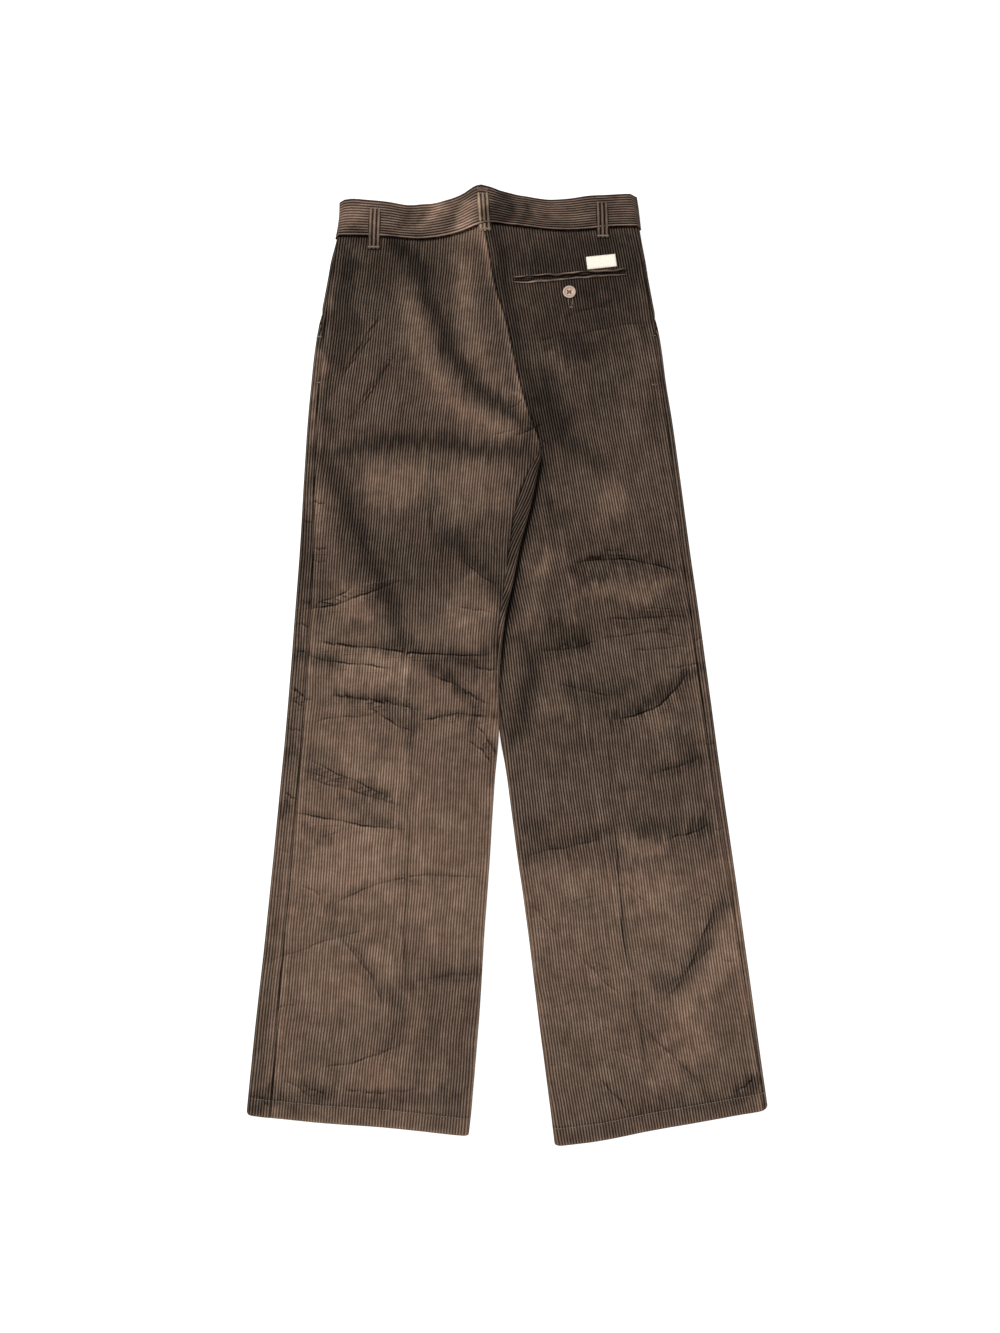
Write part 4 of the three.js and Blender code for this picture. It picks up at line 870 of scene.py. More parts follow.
# Leg panels
def backPlan(half, u, y):
    # x for the unrolled coordinate u: straight across the top, over the shoulder at the folded edges
    out = half["out"]
    edge = half["edge"](y)
    fold = half["fold"](np.minimum(y, cut["crotchY"]))
    outerPath = (edge + 2 * out - u) * out
    innerPath = (u - fold + 2 * out) * out
    x = np.where(outerPath < innerPath, edge - out * distanceIn(outerPath), fold + out * distanceIn(innerPath))
    return np.where(y >= cut["crotchY"], edge - out * distanceIn(outerPath), x)


def backEnds(half, y):
    # the unrolled coordinate of the side seam and of the centre seam or inseam
    out = half["out"]
    edge = half["edge"](y)
    side = edge + out * (2 - pathIn(np.abs(half["seam"](y) - edge)) - cut["seamGap"] / 2)
    fold = half["fold"](np.minimum(y, cut["crotchY"]))
    leg = fold - out * (2 - pathIn(half["inseamIn"](y)) - cut["seamGap"] / 2)
    seat = centreBack(y) + out * cut["seamGap"] / 2
    return side, np.where(y >= cut["crotchY"], seat, leg)


def backPanel(side):
    half = halves[side]
    rowList = panelRows(3.6)
    pitch = wale["pitch"]
    phases = np.array(wale["columns"])
    grainSpan = half["grain"](np.array([-560.0, 560.0]))
    low = int(math.floor((-270 - max(grainSpan)) / pitch)) if side == "left" else int(math.floor((-40 - max(grainSpan)) / pitch))
    high = int(math.ceil((48 - min(grainSpan)) / pitch)) if side == "left" else int(math.ceil((292 - min(grainSpan)) / pitch))
    counts = (np.arange(low, high)[:, None] + phases[None, :]).ravel()
    y = np.repeat(rowList[:, None], len(counts), 1)
    for _ in range(4):
        sideEnd, innerEnd = backEnds(half, y)
        raw = counts[None, :] * pitch + half["grain"](y) + waleWander(counts[None, :] * pitch, y)
        lowEnd, highEnd = np.minimum(sideEnd, innerEnd), np.maximum(sideEnd, innerEnd)
        u = np.clip(raw, lowEnd, highEnd)
        x = backPlan(half, u, y)
        y = rowHeight(half, x, rowList[:, None], False)
    first = np.maximum((raw <= lowEnd).sum(1) - 1, 0)
    last = np.minimum((raw < highEnd).sum(1), len(counts) - 1)
    base = np.stack([x, y, topSurface(half, x, y)], -1)
    normal = gridNormals(base)
    count = counts[None, :] + (u - raw) / pitch
    drop = waleDrop(count)
    edgeNear = np.minimum(u - lowEnd, highEnd - u)
    drop = drop + 0.35 * bell(np.maximum(edgeNear, 0), 0.8)
    outer = base - normal * drop[..., None]
    outer = edgeRoll(outer, normal, y, half, 1, cut["hemWall"])

    # plain inner face, a wall below the valleys
    cells = 30
    share = np.linspace(0, 1, cells + 1)[None, :]
    yi = np.repeat(rowList[:, None], cells + 1, 1)
    for _ in range(3):
        sideEnd, innerEnd = backEnds(half, yi)
        ui = lerp(np.minimum(sideEnd, innerEnd), np.maximum(sideEnd, innerEnd), share)
        xi = backPlan(half, ui, yi)
        yi = rowHeight(half, xi, rowList[:, None], False)
    under = np.stack([xi, yi, topSurface(half, xi, yi, False)], -1)
    wall = wallAt(half, xi, yi)
    inner = under - gridNormals(under) * (wall + cut["lining"])[..., None]
    faces = closedShell(outer, first, last, inner)
    points = np.concatenate([outer.reshape(-1, 3), inner.reshape(-1, 3)])
    uv = np.concatenate([np.stack([count, y / pitch], -1).reshape(-1, 2), np.stack([ui / pitch, yi / pitch], -1).reshape(-1, 2)])
    tint = np.concatenate([tintAt(x, y, half, count).reshape(-1, 4), tintAt(xi, yi).reshape(-1, 4)])
    piece = newObject("backPanel" + side.title(), points, faces, corduroy, uv, tint)
    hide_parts("back_panel_" + side)
    print("back panel", side, len(faces), "triangles")
    return piece


def frontStart(half, y):
    # path of the side seam, or of the slanted pocket mouth above it; below 0 is on the top face
    seamPath = -pathIn(np.abs(half["seam"](y) - half["edge"](y)))
    mouthY = cut["pocketMouthY"]
    first = -pathIn(np.abs(half["seam"](mouthY) - half["edge"](mouthY)))
    mouth = lerp(first, cut["pocketMouthIn"], (y - mouthY) / (cut["waistY"] - mouthY))
    return np.where(y < mouthY, seamPath, mouth)


def roundEdge(half, edgeX, outward, path, y):
    # plan place and height of a point by its path from a folded edge: below 0 over the top, above 0 under
    radius = edgeRadius(y)
    underPath = radius * np.pi / 2
    angle = np.clip(path / underPath, 0, 1) * np.pi / 2
    d = np.where(path < 0, distanceIn(-path), radius * (1 - np.cos(angle)) + np.maximum(path - underPath, 0))
    x = edgeX - outward * d
    groove = np.zeros(x.shape)
    for row in creases:
        groove = groove + np.maximum(-creaseHeight(row, -x, y), 0)
    under = liftUnder(half, x, y) + radius * (1 - np.sin(angle)) + 0.8 * groove * ease(3, 14, path)
    return x, np.where(path < 0, topSurface(half, x, y), under)


def frontPoint(half, p, y):
    # p is the path from the outer fold; past the middle it is measured back from the inner fold
    out = half["out"]
    edge = half["edge"](y)
    x, z = roundEdge(half, edge, out, p, y)
    total = np.abs(half["fold"](y) - edge) + (np.pi - 2) * edgeRadius(y)
    xi, zi = roundEdge(half, half["fold"](y), -out, total - p, y)
    inner = (y < cut["crotchY"]) & (p > total / 2)
    return np.where(inner, xi, x), np.where(inner, zi, z)


def frontEnds(half, y):
    start = frontStart(half, y) + cut["seamGap"] / 2
    radius = edgeRadius(y)
    leg = np.abs(half["fold"](y) - half["edge"](y)) + (np.pi - 2) * radius + pathIn(half["inseamIn"](y))
    seat = np.abs(centreFront(y) - half["edge"](y)) + (np.pi / 2 - 1) * radius
    return start, np.where(y >= cut["crotchY"], seat, leg) - cut["seamGap"] / 2


def frontPanel(side):
    half = halves[side]
    rowList = panelRows(5.2)
    pitch = wale["pitch"]
    counts = (np.arange(-14, 100)[:, None] + np.array(wale["columns"])[None, :]).ravel()
    y = np.repeat(rowList[:, None], len(counts), 1)
    for _ in range(4):
        start, end = frontEnds(half, y)
        raw = counts[None, :] * pitch + 0.5 * waleWander(counts[None, :] * pitch, y)
        p = np.clip(raw, start, end)
        x, z = frontPoint(half, p, y)
        y = rowHeight(half, x, rowList[:, None], True)
    first = np.maximum((raw <= start).sum(1) - 1, 0)
    last = np.minimum((raw < end).sum(1), len(counts) - 1)
    base = np.stack([x, y, z], -1)
    sign = half["out"]
    normal = gridNormals(base)
    count = counts[None, :] + (p - raw) / pitch
    edgeNear = np.minimum(p - start, end - p)
    drop = waleDrop(count) + 0.35 * bell(np.maximum(edgeNear, 0), 0.8)
    outer = base - sign * normal * drop[..., None]
    outer = edgeRoll(outer, normal, y, half, sign, cut["hemWall"])
    cells = 40
    share = np.linspace(0, 1, cells + 1)[None, :]
    yi = np.repeat(rowList[:, None], cells + 1, 1)
    for _ in range(3):
        start, end = frontEnds(half, yi)
        pi = lerp(start, end, share)
        xi, zi = frontPoint(half, pi, yi)
        yi = rowHeight(half, xi, rowList[:, None], True)
    skin = np.stack([xi, yi, zi], -1)
    inner = skin - sign * gridNormals(skin) * wallAt(half, xi, yi)[..., None]
    faces = closedShell(outer, first, last, inner)
    points = np.concatenate([outer.reshape(-1, 3), inner.reshape(-1, 3)])
    uv = np.concatenate([np.stack([count, y / pitch], -1).reshape(-1, 2), np.stack([pi / pitch, yi / pitch], -1).reshape(-1, 2)])
    under = np.abs(half["fold"](y) - half["edge"](y)) + (np.pi - 2) * edgeRadius(y)
    inseamStrip = (y < cut["crotchY"]) & (p > under - 2)
    seen = np.where((p > 0) & ~inseamStrip, -x, x)  # the underside has the same kind of shades, mirrored
    # painted light and shade on the front panel's strip seen on top beside the side seam, set per side and by height,
    # and painted shade on the inseam strip at the crotch
    dark = 0.38 * ease(300, 200, y) - 0.1 * ease(-60, -140, y) if side == "left" else 0.12
    strip = ease(2, -2, p) * (0.1 - dark) - 0.35 * inseamStrip * ease(60, 120, y)
    tint = np.concatenate([tintAt(seen, y, half, count, strip).reshape(-1, 4), tintAt(-xi, yi).reshape(-1, 4)])
    piece = newObject("frontPanel" + side.title(), points, faces, corduroy, uv, tint)
    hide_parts("front_panel_" + side)
    print("front panel", side, len(faces), "triangles")
    return piece


for side in halves:
    backPanel(side)
    frontPanel(side)


# Pocket facings, behind the slanted mouths of the side pockets
def facing(side):
    half = halves[side]
    sign = half["out"]
    pitch = wale["pitch"]
    rowList = np.linspace(cut["pocketMouthY"] - 2, cut["waistY"] - 1.2, 46)
    counts = np.arange(-16, 60 + 0.1, 0.25)
    y = np.repeat(rowList[:, None], len(counts), 1)
    for _ in range(4):
        start = -pathIn(np.abs(half["seam"](y) - half["edge"](y))) + 1.5 * cut["seamGap"]
        mouth = frontStart(half, y)
        end = np.maximum(mouth, start) + cut["facingUnderlap"]
        raw = counts[None, :] * pitch
        p = np.clip(raw, start, end)
        x, z = roundEdge(half, half["edge"](y), sign, p, y)
        y = rowHeight(half, x, rowList[:, None], True)
    first = np.maximum((raw <= start).sum(1) - 1, 0)
    last = np.minimum((raw < end).sum(1), len(counts) - 1)
    base = np.stack([x, y, z], -1)
    normal = gridNormals(base)
    sunk = cut["facingInset"] * ease(mouth - 6, mouth - 0.6, p)
    drop = waleDrop(p / pitch) * 0.9
    outer = base - sign * normal * (drop + sunk)[..., None]
    cells = 12
    at = lerp(first[:, None], last[:, None], np.linspace(0, 1, cells + 1)[None, :]).round().astype(int)
    rowAt = np.arange(len(rowList))[:, None]
    inner = (base - sign * normal * (sunk + cut["wall"])[..., None])[rowAt, at]
    faces = closedShell(outer, first, last, inner)
    points = np.concatenate([outer.reshape(-1, 3), inner.reshape(-1, 3)])
    uv = np.stack([p / pitch, y / pitch], -1)
    uv = np.concatenate([uv.reshape(-1, 2), uv[rowAt, at].reshape(-1, 2)])
    tint = tintAt(x, y)
    tint = np.concatenate([tint.reshape(-1, 4), tint[rowAt, at].reshape(-1, 4)])
    piece = newObject("pocketFacing" + side.title(), points, faces, corduroy, uv, tint)
    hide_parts("side_pocket_facing_" + side)
    return piece


facings = {side: facing(side) for side in halves}
print("pocket facings")


# Waistband, wales running round the body
def bandSurface(half, x, y):
    # height of the band's back over the surface the trousers lie on
    inFrom = pathIn(np.abs(x - half["edge"](y)))
    return topSurface(half, x, y, False) + cut["bandProud"] * np.clip(inFrom / cut["shoulderPath"], 0, 1)


bandSize = {"wales": 13.5, "columnStep": 2.6}


def bandGrid(half, shares, ups):
    # share 0 at the centre back, 1 at the centre front, over the side edge; up from the lower edge to the upper
    out = half["out"]
    hip = cut["hipEdgeRadius"]
    turn = hip * np.pi / 2
    sideX = half["edge"](cut["waistY"])
    y = cut["waistY"] + ups * cut["bandDepth"] + 0 * shares
    for _ in range(5):
        over = np.abs(centreBack(y) - half["edge"](y)) - cut["seamGap"] / 2 + cut["shoulderPath"] - cut["shoulder"]
        under = np.abs(centreFront(y) - half["edge"](y)) - cut["seamGap"] / 2 - hip + turn
        p = lerp(-over, under, shares)
        angle = np.clip(p / turn, 0, 1) * np.pi / 2
        d = np.where(p < 0, distanceIn(-p), hip * (1 - np.cos(angle)) + np.maximum(p - turn, 0))
        x = half["edge"](y) - out * d
        low = np.where(p < 0, bandLower(x), bandLower(sideX) - dipAt(half, x))
        high = np.where(p < 0, bandUpper(x), bandUpper(sideX) - dipAt(half, x))
        y = lerp(low + cut["seamGap"] / 2, high, ups)
    z = np.where(p < 0, bandSurface(half, x, y), cut["frontLoopLift"] + hip * (1 - np.sin(angle)))
    return x, y, z, p


bandDents = [  # x, y, reach x, reach y, depth: soft hollows and a few slanted ripples of the band's back
    (-128, 516, 14, 22, 0.7), (-96, 520, 6, 24, 0.9), (-80, 522, 6, 24, -0.7), (-58, 528, 5, 22, 0.8),
    (6, 528, 6, 24, 1.0), (18, 526, 5, 22, -0.6), (46, 522, 7, 20, 0.7), (84, 524, 9, 18, 0.5),
]


def bandHalf(side):
    half = halves[side]
    sign = -half["out"]
    wales = bandSize["wales"]
    ups = np.unique(np.concatenate([np.arange(0, wales, 0.25) / wales, [0.004, 0.012, 0.976, 0.988, 0.996, 1.0]]))
    length = 370 / 2 + 190
    shares = np.linspace(0, 1, int(length / bandSize["columnStep"]))
    x, y, z, p = bandGrid(half, shares[None, :], ups[:, None])
    top = np.clip(-p / 12, 0, 1)
    for bx, by, rx, ry, depth in bandDents:
        lean = 0.35 * (y - by)
        z = z - top * depth * bell(x - bx - lean, rx) * bell(y - by, ry)
    base = np.stack([x, y, z], -1)
    normal = gridNormals(base) * sign
    count = ups[:, None] * wales + 0 * x
    drop = 0.8 * waleDrop(count)
    fromTop = (1 - ups[:, None]) * cut["bandDepth"]
    fromLow = ups[:, None] * cut["bandDepth"]
    drop = drop * ease(0, 2.5, fromTop) + 1.2 * np.clip(1 - fromTop / 1.4, 0, 1) ** 2
    drop = drop + 0.3 * ease(4.5, 0.5, fromLow) + 0.5 * np.clip(1 - fromLow / 0.7, 0, 1) ** 2
    drop = drop - 0.3 * bell(fromLow - 1.5, 0.8) + 0.3 * bell(fromLow - 3.4, 0.8)
    outer = base - normal * drop[..., None]
    cells = 60
    at = np.round(np.linspace(0, len(shares) - 1, cells + 1)).astype(int)
    inner = (base - normal * cut["bandWall"])[:, at]
    first = np.zeros(len(ups), int)
    last = np.full(len(ups), len(shares) - 1)
    faces = closedShell(outer, first, last, inner)
    points = np.concatenate([outer.reshape(-1, 3), inner.reshape(-1, 3)])
    uv = np.stack([count, p / wale["pitch"]], -1)
    uv = np.concatenate([uv.reshape(-1, 2), uv[:, at].reshape(-1, 2)])
    # a painted highlight along the lower edge's ridge and painted shade in the stitch groove above it
    tint = tintAt(x, y, extra=0.55 * bell(fromLow - 1.0, 1.0) - 0.3 * bell(fromLow - 3.6, 0.8))
    tint = np.concatenate([tint.reshape(-1, 4), tint[:, at].reshape(-1, 4)])
    piece = newObject("waistband" + side.title(), points, faces, bandCorduroy, uv, tint)
    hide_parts("waistband_" + side)
    return piece


bands = {side: bandHalf(side) for side in halves}
print("waistband")


# What is under a small piece: the band above its lower edge, the back panels below it
def carrier(x, y):
    height = np.full(np.broadcast(x, y).shape, -1.0)
    for half in halves.values():
        here = (x - centreBack(y)) * half["out"] > -0.3
        panel = topSurface(half, x, y, False) + 0.0 * y
        band = bandSurface(half, x, y)
        height = np.where(here, np.where(y > bandLower(x), band, panel), height)
    return height


def restingHeight(x, y, reachX=1.5, reachY=2.8):
    # the highest of nine carrier points round each place, so that a piece lies clear of it
    best = None
    for dx in (-reachX, 0, reachX):
        for dy in (-reachY, 0, reachY):
            here = carrier(x + dx, y + dy)
            best = here if best is None else np.maximum(best, here)
    return best


# Belt loops: folded strips with raised edges and three wales, arched over the band
loops = {
    "width": 15.0, "wall": 1.8, "bulge": 1.9,
    "back": [("left", -161, 543, -162.5, 482), ("centre", -30, 559.5, -26.5, 504.5), ("right", 116.5, 550.5, 117.5, 496.5)],
    "front": [("left", -112, 527, 58), ("right", 66, 537, 58)],
}


def loopShell(name, x, y, low, bulge, material, node):
    # across runs in columns, down the loop in rows
    across = (np.arange(x.shape[1]) / (x.shape[1] - 1) - 0.5) * 2
    rib = 0.45 * np.cos(across * np.pi * 3.0) - 0.9 * np.clip(np.abs(across) - 0.86, 0, 1) / 0.14
    ends = np.linspace(0, 1, x.shape[0])[:, None]
    curl = -0.35 * (bell(ends, 0.015) + bell(ends - 1, 0.015))
    top = low + loops["wall"] + bulge + 0.5 * rib[None, :] + curl - 0.25
    outer = np.stack([x, y, top], -1)
    cells = 4
    at = np.round(np.linspace(0, x.shape[1] - 1, cells + 1)).astype(int)
    inner = np.stack([x, y, low + bulge], -1)[:, at]
    first = np.zeros(x.shape[0], int)
    faces = closedShell(outer, first, np.full(x.shape[0], x.shape[1] - 1), inner)
    points = np.concatenate([outer.reshape(-1, 3), inner.reshape(-1, 3)])
    count = np.broadcast_to((across * 1.5 + 0.5)[None, :], x.shape)
    uv = np.stack([count, y / wale["pitch"]], -1)
    uv = np.concatenate([uv.reshape(-1, 2), uv[:, at].reshape(-1, 2)])
    tint = tintAt(x, y)
    tint = np.concatenate([tint.reshape(-1, 4), tint[:, at].reshape(-1, 4)])
    piece = newObject(name, points, faces, material, uv, tint)
    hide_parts(node)
    return piece


for name, topX, topY, lowX, lowY in loops["back"]:
    down = np.linspace(0, 1, 60)[:, None]
    across = np.linspace(-0.5, 0.5, 25)[None, :]
    x = lerp(topX, lowX, down) + across * loops["width"]
    y = lerp(topY, lowY, down) + 0 * across
    low = restingHeight(x, y).max(axis=1, keepdims=True) + 0 * x + 0.25
    for _ in range(30):
        low[1:-1] = np.maximum(low[1:-1], 0.5 * (low[:-2] + low[2:]) - 0.01)
    bulge = loops["bulge"] * np.sin(np.pi * np.clip((down - 0.06) / 0.8, 0, 1))
    centre = name == "centre"
    loopShell("beltLoopBack" + name.title(), x, y, low, bulge, wornCorduroy if centre else bandCorduroy,
                                 "belt_loop_back_" + name)
for name, midX, topY, length in loops["front"]:
    down = np.linspace(0, 1, 40)[:, None]
    across = np.linspace(-0.5, 0.5, 25)[None, :]
    x = midX + across * loops["width"] + 0 * down
    y = topY - down * length + 0 * across
    # these lie face down, so the ribbed face is the lower one
    rib = 0.22 * (1 - np.cos(across * 2 * np.pi * 3.0))
    outer = np.stack([x, y, rib + 0 * down], -1)
    inner = np.stack([x, y, 0 * x + loops["wall"]], -1)[:, ::6]
    faces = closedShell(outer, np.zeros(40, int), np.full(40, 24), inner)
    points = np.concatenate([outer.reshape(-1, 3), inner.reshape(-1, 3)])
    uv = np.stack([across * 3 + 0 * y, y / wale["pitch"]], -1)
    uv = np.concatenate([uv.reshape(-1, 2), uv[:, ::6].reshape(-1, 2)])
    tint = np.full((len(points), 4), 0.5) * (1, 1, 0, 1)
    piece = newObject("beltLoopFront" + name.title(), points, faces, bandCorduroy, uv, tint)
    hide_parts("belt_loop_front_" + name)
print("belt loops")


# Back pocket: two welts along a slot
pocket = {"x0": 8.0, "y0": 443.5, "x1": 146.0, "y1": 453.0, "width": 4.2, "wall": 1.5}


def welt(name, shift, gape, node, lean):
    # a flat rolled lip, thicker towards one end; its outer rim is rubbed pale and its side towards the slot darkened
    # with painted shade
    along = np.linspace(0, 1, 120)[None, :]
    angle = np.linspace(0, 2 * np.pi, 15)[:-1][:, None]
    x = lerp(pocket["x0"], pocket["x1"], along) + 0 * angle
    opening = gape * np.sin(np.pi * np.clip(along * 2.2, 0, 1))
    waver = 0.22 * np.sin(along * 19 + shift) + 0.1 * np.sin(along * 47)
    middle = lerp(pocket["y0"], pocket["y1"], along) + shift + opening + waver
    taper = np.sqrt(np.clip(1 - np.abs(2 * along - 1) ** 24, 0.02, 1))
    thick = pocket["width"] / 2 * taper * (0.78 + 0.22 * np.sin(np.pi * np.clip(along + lean, 0, 1)))
    y = middle + thick * np.cos(angle)
    low = restingHeight(x, middle + 0 * angle) + 0.2
    z = low + 0.9 + 0.9 * np.sin(angle) * taper
    z = np.maximum(z, low)
    ring = np.stack([x, y, z], -1)
    rows, columns = ring.shape[:2]
    ids = np.arange(rows * columns).reshape(rows, columns)
    ids = np.concatenate([ids, ids[:1]], 0)
    a, b, c, d = ids[:-1, :-1].ravel(), ids[:-1, 1:].ravel(), ids[1:, 1:].ravel(), ids[1:, :-1].ravel()
    faces = [np.stack([a, b, c], 1), np.stack([a, c, d], 1)]
    for column, turned in ((0, False), (columns - 1, True)):
        fan = np.stack([np.full(rows - 2, ids[0, column]), ids[1:rows - 1, column], ids[2:rows, column]], 1)
        faces.append(fan[:, ::-1] if turned else fan)
    faces = np.concatenate(faces)
    points = ring.reshape(-1, 3)
    rim = np.cos(angle) * (1 if shift > 0 else -1)
    twist = 0.2 * np.sin(along * 14 + shift) + 0.12 * np.sin(along * 37)
    uv = np.stack([0.5 + 0.42 * (rim - 0.55) + twist, x / wale["pitch"]], -1).reshape(-1, 2)
    # pale on the worn outer rim, darker with painted shade on the side towards the slot
    worn = ease(0.1, 0.7, rim) * (0.85 + 0.35 * np.sin(along * 23 + shift)) - 0.5 * ease(0.0, -0.7, rim)
    tint = tintAt(x, y, extra=worn + 0.05).reshape(-1, 4)
    piece = newObject(name, points, faces, bandCorduroy, uv, tint)
    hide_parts(node)
    return piece


weltUpper = welt("pocketWeltUpper", 2.3, 0.0, "pocket_welt_upper", -0.15)
weltLower = welt("pocketWeltLower", -2.3, -1.6, "pocket_welt_lower", 0.2)
print("pocket welts")


# Label: bare woven tape
label = {"x": 115.5, "y": 466.0, "turn": 0.11, "width": 36.0, "height": 16.0, "wall": 0.8}


def labelMaterial():
    material = bpy.data.materials.new("wovenTape")
    material.use_nodes = True
    tree = material.node_tree
    shader = tree.nodes["Principled BSDF"]
    shader.inputs["Roughness"].default_value = 0.75
    shader.inputs["Sheen Weight"].default_value = 0.1
    uvNode = node(tree, "ShaderNodeUVMap", uv_map="cloth")
    plain = (0.84, 0.79, 0.69, 1)
    weave = node(tree, "ShaderNodeTexBrick")
    mapping = node(tree, "ShaderNodeMapping")
    mapping.inputs["Scale"].default_value = (72, 32, 1)
    link(tree, uvNode.outputs[0], mapping.inputs[0])
    link(tree, mapping.outputs[0], weave.inputs[0])
    weave.inputs["Color1"].default_value = (1, 1, 1, 1)
    weave.inputs["Color2"].default_value = (0.88, 0.87, 0.84, 1)
    weave.inputs["Mortar"].default_value = (0.66, 0.63, 0.58, 1)
    weave.inputs["Scale"].default_value = 1.0
    mix = node(tree, "ShaderNodeMix", data_type="RGBA", blend_type="MULTIPLY")
    mix.inputs["Factor"].default_value = 1.0
    mix.inputs[6].default_value = plain
    link(tree, weave.outputs[0], mix.inputs[7])
    link(tree, mix.outputs[2], shader.inputs["Base Color"])
    bump = node(tree, "ShaderNodeBump")
    bump.inputs["Distance"].default_value = 0.0001
    link(tree, weave.outputs[0], bump.inputs["Height"])
    link(tree, bump.outputs[0], shader.inputs["Normal"])
    return material


def labelPiece():
    u = np.linspace(0, 1, 49)[None, :]
    v = np.linspace(0, 1, 25)[:, None]
    right = (u - 0.5) * label["width"] + 0 * v
    high = (v - 0.5) * label["height"] + 0 * u
    x = label["x"] + right * math.cos(label["turn"]) - high * math.sin(label["turn"])
    y = label["y"] + right * math.sin(label["turn"]) + high * math.cos(label["turn"])
    low = restingHeight(x, y) + cut["seamGap"]
    edge = np.minimum(np.minimum(u, 1 - u) * label["width"], np.minimum(v, 1 - v) * label["height"])
    quilt = 0.3 * ease(0.8, 3.0, edge) + 0.06 * np.sin(u * 23) - 0.25 * np.clip(1 - edge / 0.5, 0, 1)
    outer = np.stack([x, y, low + label["wall"] - 0.2 + quilt], -1)
    inner = np.stack([x, y, low], -1)[:, ::8]
    faces = closedShell(outer, np.zeros(25, int), np.full(25, 48), inner)
    points = np.concatenate([outer.reshape(-1, 3), inner.reshape(-1, 3)])
    uv = np.stack([u + 0 * v, v + 0 * u], -1)
    uv = np.concatenate([uv.reshape(-1, 2), uv[:, ::8].reshape(-1, 2)])
    piece = newObject("wovenLabel", points, faces, labelMaterial(), uv)
    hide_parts("label")
    return piece


labelSheet = labelPiece()
print("label")


# Button with concentric rings and four holes
button = {"x": 76.0, "y": 427.0, "radius": 8.0, "holeSpread": 1.9, "holeRadius": 0.85}


def buttonMaterial(centre):
    material = bpy.data.materials.new("buttonResin")
    material.use_nodes = True
    tree = material.node_tree
    shader = tree.nodes["Principled BSDF"]
    shader.inputs["Roughness"].default_value = 0.38
    coords = node(tree, "ShaderNodeTexCoord")
    mapping = node(tree, "ShaderNodeMapping")
    mapping.inputs["Location"].default_value = (-centre[0], -centre[1], 0)
    link(tree, coords.outputs["Object"], mapping.inputs[0])
    flat = node(tree, "ShaderNodeVectorMath", operation="MULTIPLY")
    flat.inputs[1].default_value = (1, 1, 0)
    link(tree, mapping.outputs[0], flat.inputs[0])
    length = node(tree, "ShaderNodeVectorMath", operation="LENGTH")
    link(tree, flat.outputs[0], length.inputs[0])
    scaled = node(tree, "ShaderNodeMath", operation="DIVIDE")
    link(tree, length.outputs["Value"], scaled.inputs[0])
    scaled.inputs[1].default_value = button["radius"] * mm
    ramp = node(tree, "ShaderNodeValToRGB")
    cream, russet, dark = (0.40, 0.335, 0.27, 1), (0.17, 0.06, 0.032, 1), (0.06, 0.025, 0.018, 1)
    rose = (0.36, 0.2, 0.14, 1)
    # the last, dark stop is a painted shadow round the button's rim
    stops = [(0.0, russet), (0.2, russet), (0.28, cream), (0.5, cream), (0.58, rose), (0.78, rose), (0.86, cream), (0.94, cream),
             (1.0, dark)]
    while len(ramp.color_ramp.elements) < len(stops):
        ramp.color_ramp.elements.new(0.5)
    for element, (position, colour) in zip(ramp.color_ramp.elements, stops):
        element.position = position
        element.color = colour
    link(tree, scaled.outputs[0], ramp.inputs[0])
    link(tree, ramp.outputs[0], shader.inputs["Base Color"])
    return material


def buttonPiece():
    # a profile turned round the button's axis; the holes are cut through with cylinders
    radius = np.array([0.02, 0.2, 0.42, 0.54, 0.62, 0.68, 0.76, 0.86, 0.94, 0.985, 1.0, 0.985, 0.9, 0.6, 0.3, 0.02]) * button["radius"]
    height = np.array([1.75, 1.75, 1.75, 1.8, 2.0, 2.35, 2.55, 2.6, 2.45, 2.1, 1.5, 0.8, 0.1, 0.0, 0.0, 0.0])
    angle = np.linspace(0, 2 * np.pi, 65)[:-1]
    rim = restingHeight(button["x"] + button["radius"] * np.cos(angle), button["y"] + button["radius"] * np.sin(angle), 0.5, 0.5)
    seat = float(rim.max()) + cut["seamGap"]
    x = button["x"] + radius[:, None] * np.cos(angle)[None, :]
    y = button["y"] + radius[:, None] * np.sin(angle)[None, :]
    z = seat + height[:, None] + 0 * angle[None, :]
    ring = np.stack([x, y, z], -1)
    rows, columns = ring.shape[:2]
    ids = np.arange(rows * columns).reshape(rows, columns)
    ids = np.concatenate([ids, ids[:, :1]], 1)
    a, b, c, d = ids[:-1, :-1].ravel(), ids[:-1, 1:].ravel(), ids[1:, 1:].ravel(), ids[1:, :-1].ravel()
    faces = [np.stack([a, c, b], 1), np.stack([a, d, c], 1)]
    for row, turned in ((0, False), (rows - 1, True)):
        fan = np.stack([np.full(columns - 2, ids[row, 0]), ids[row, 1:columns - 1], ids[row, 2:columns]], 1)
        faces.append(fan[:, ::-1] if turned else fan)
    centre = ((button["x"] + shiftX) * mm, (button["y"] + shiftY) * mm)
    piece = newObject("pocketButton", ring.reshape(-1, 3), np.concatenate(faces), buttonMaterial(centre))
    for right in (-1, 1):
        for up in (-1, 1):
            place = (centre[0] + right * button["holeSpread"] * mm, centre[1] + up * button["holeSpread"] * mm, seat * mm)
            bpy.ops.mesh.primitive_cylinder_add(vertices=20, radius=button["holeRadius"] * mm, depth=0.012, location=place)
            drill = bpy.context.object
            cutter = piece.modifiers.new("hole", "BOOLEAN")
            cutter.object = drill
            cutter.solver = "EXACT"
            bpy.context.view_layer.objects.active = piece
            bpy.ops.object.modifier_apply(modifier=cutter.name)
            bpy.data.objects.remove(drill)
    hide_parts("pocket_button")
    return piece, seat


buttonObject, buttonSeat = buttonPiece()
print("button")


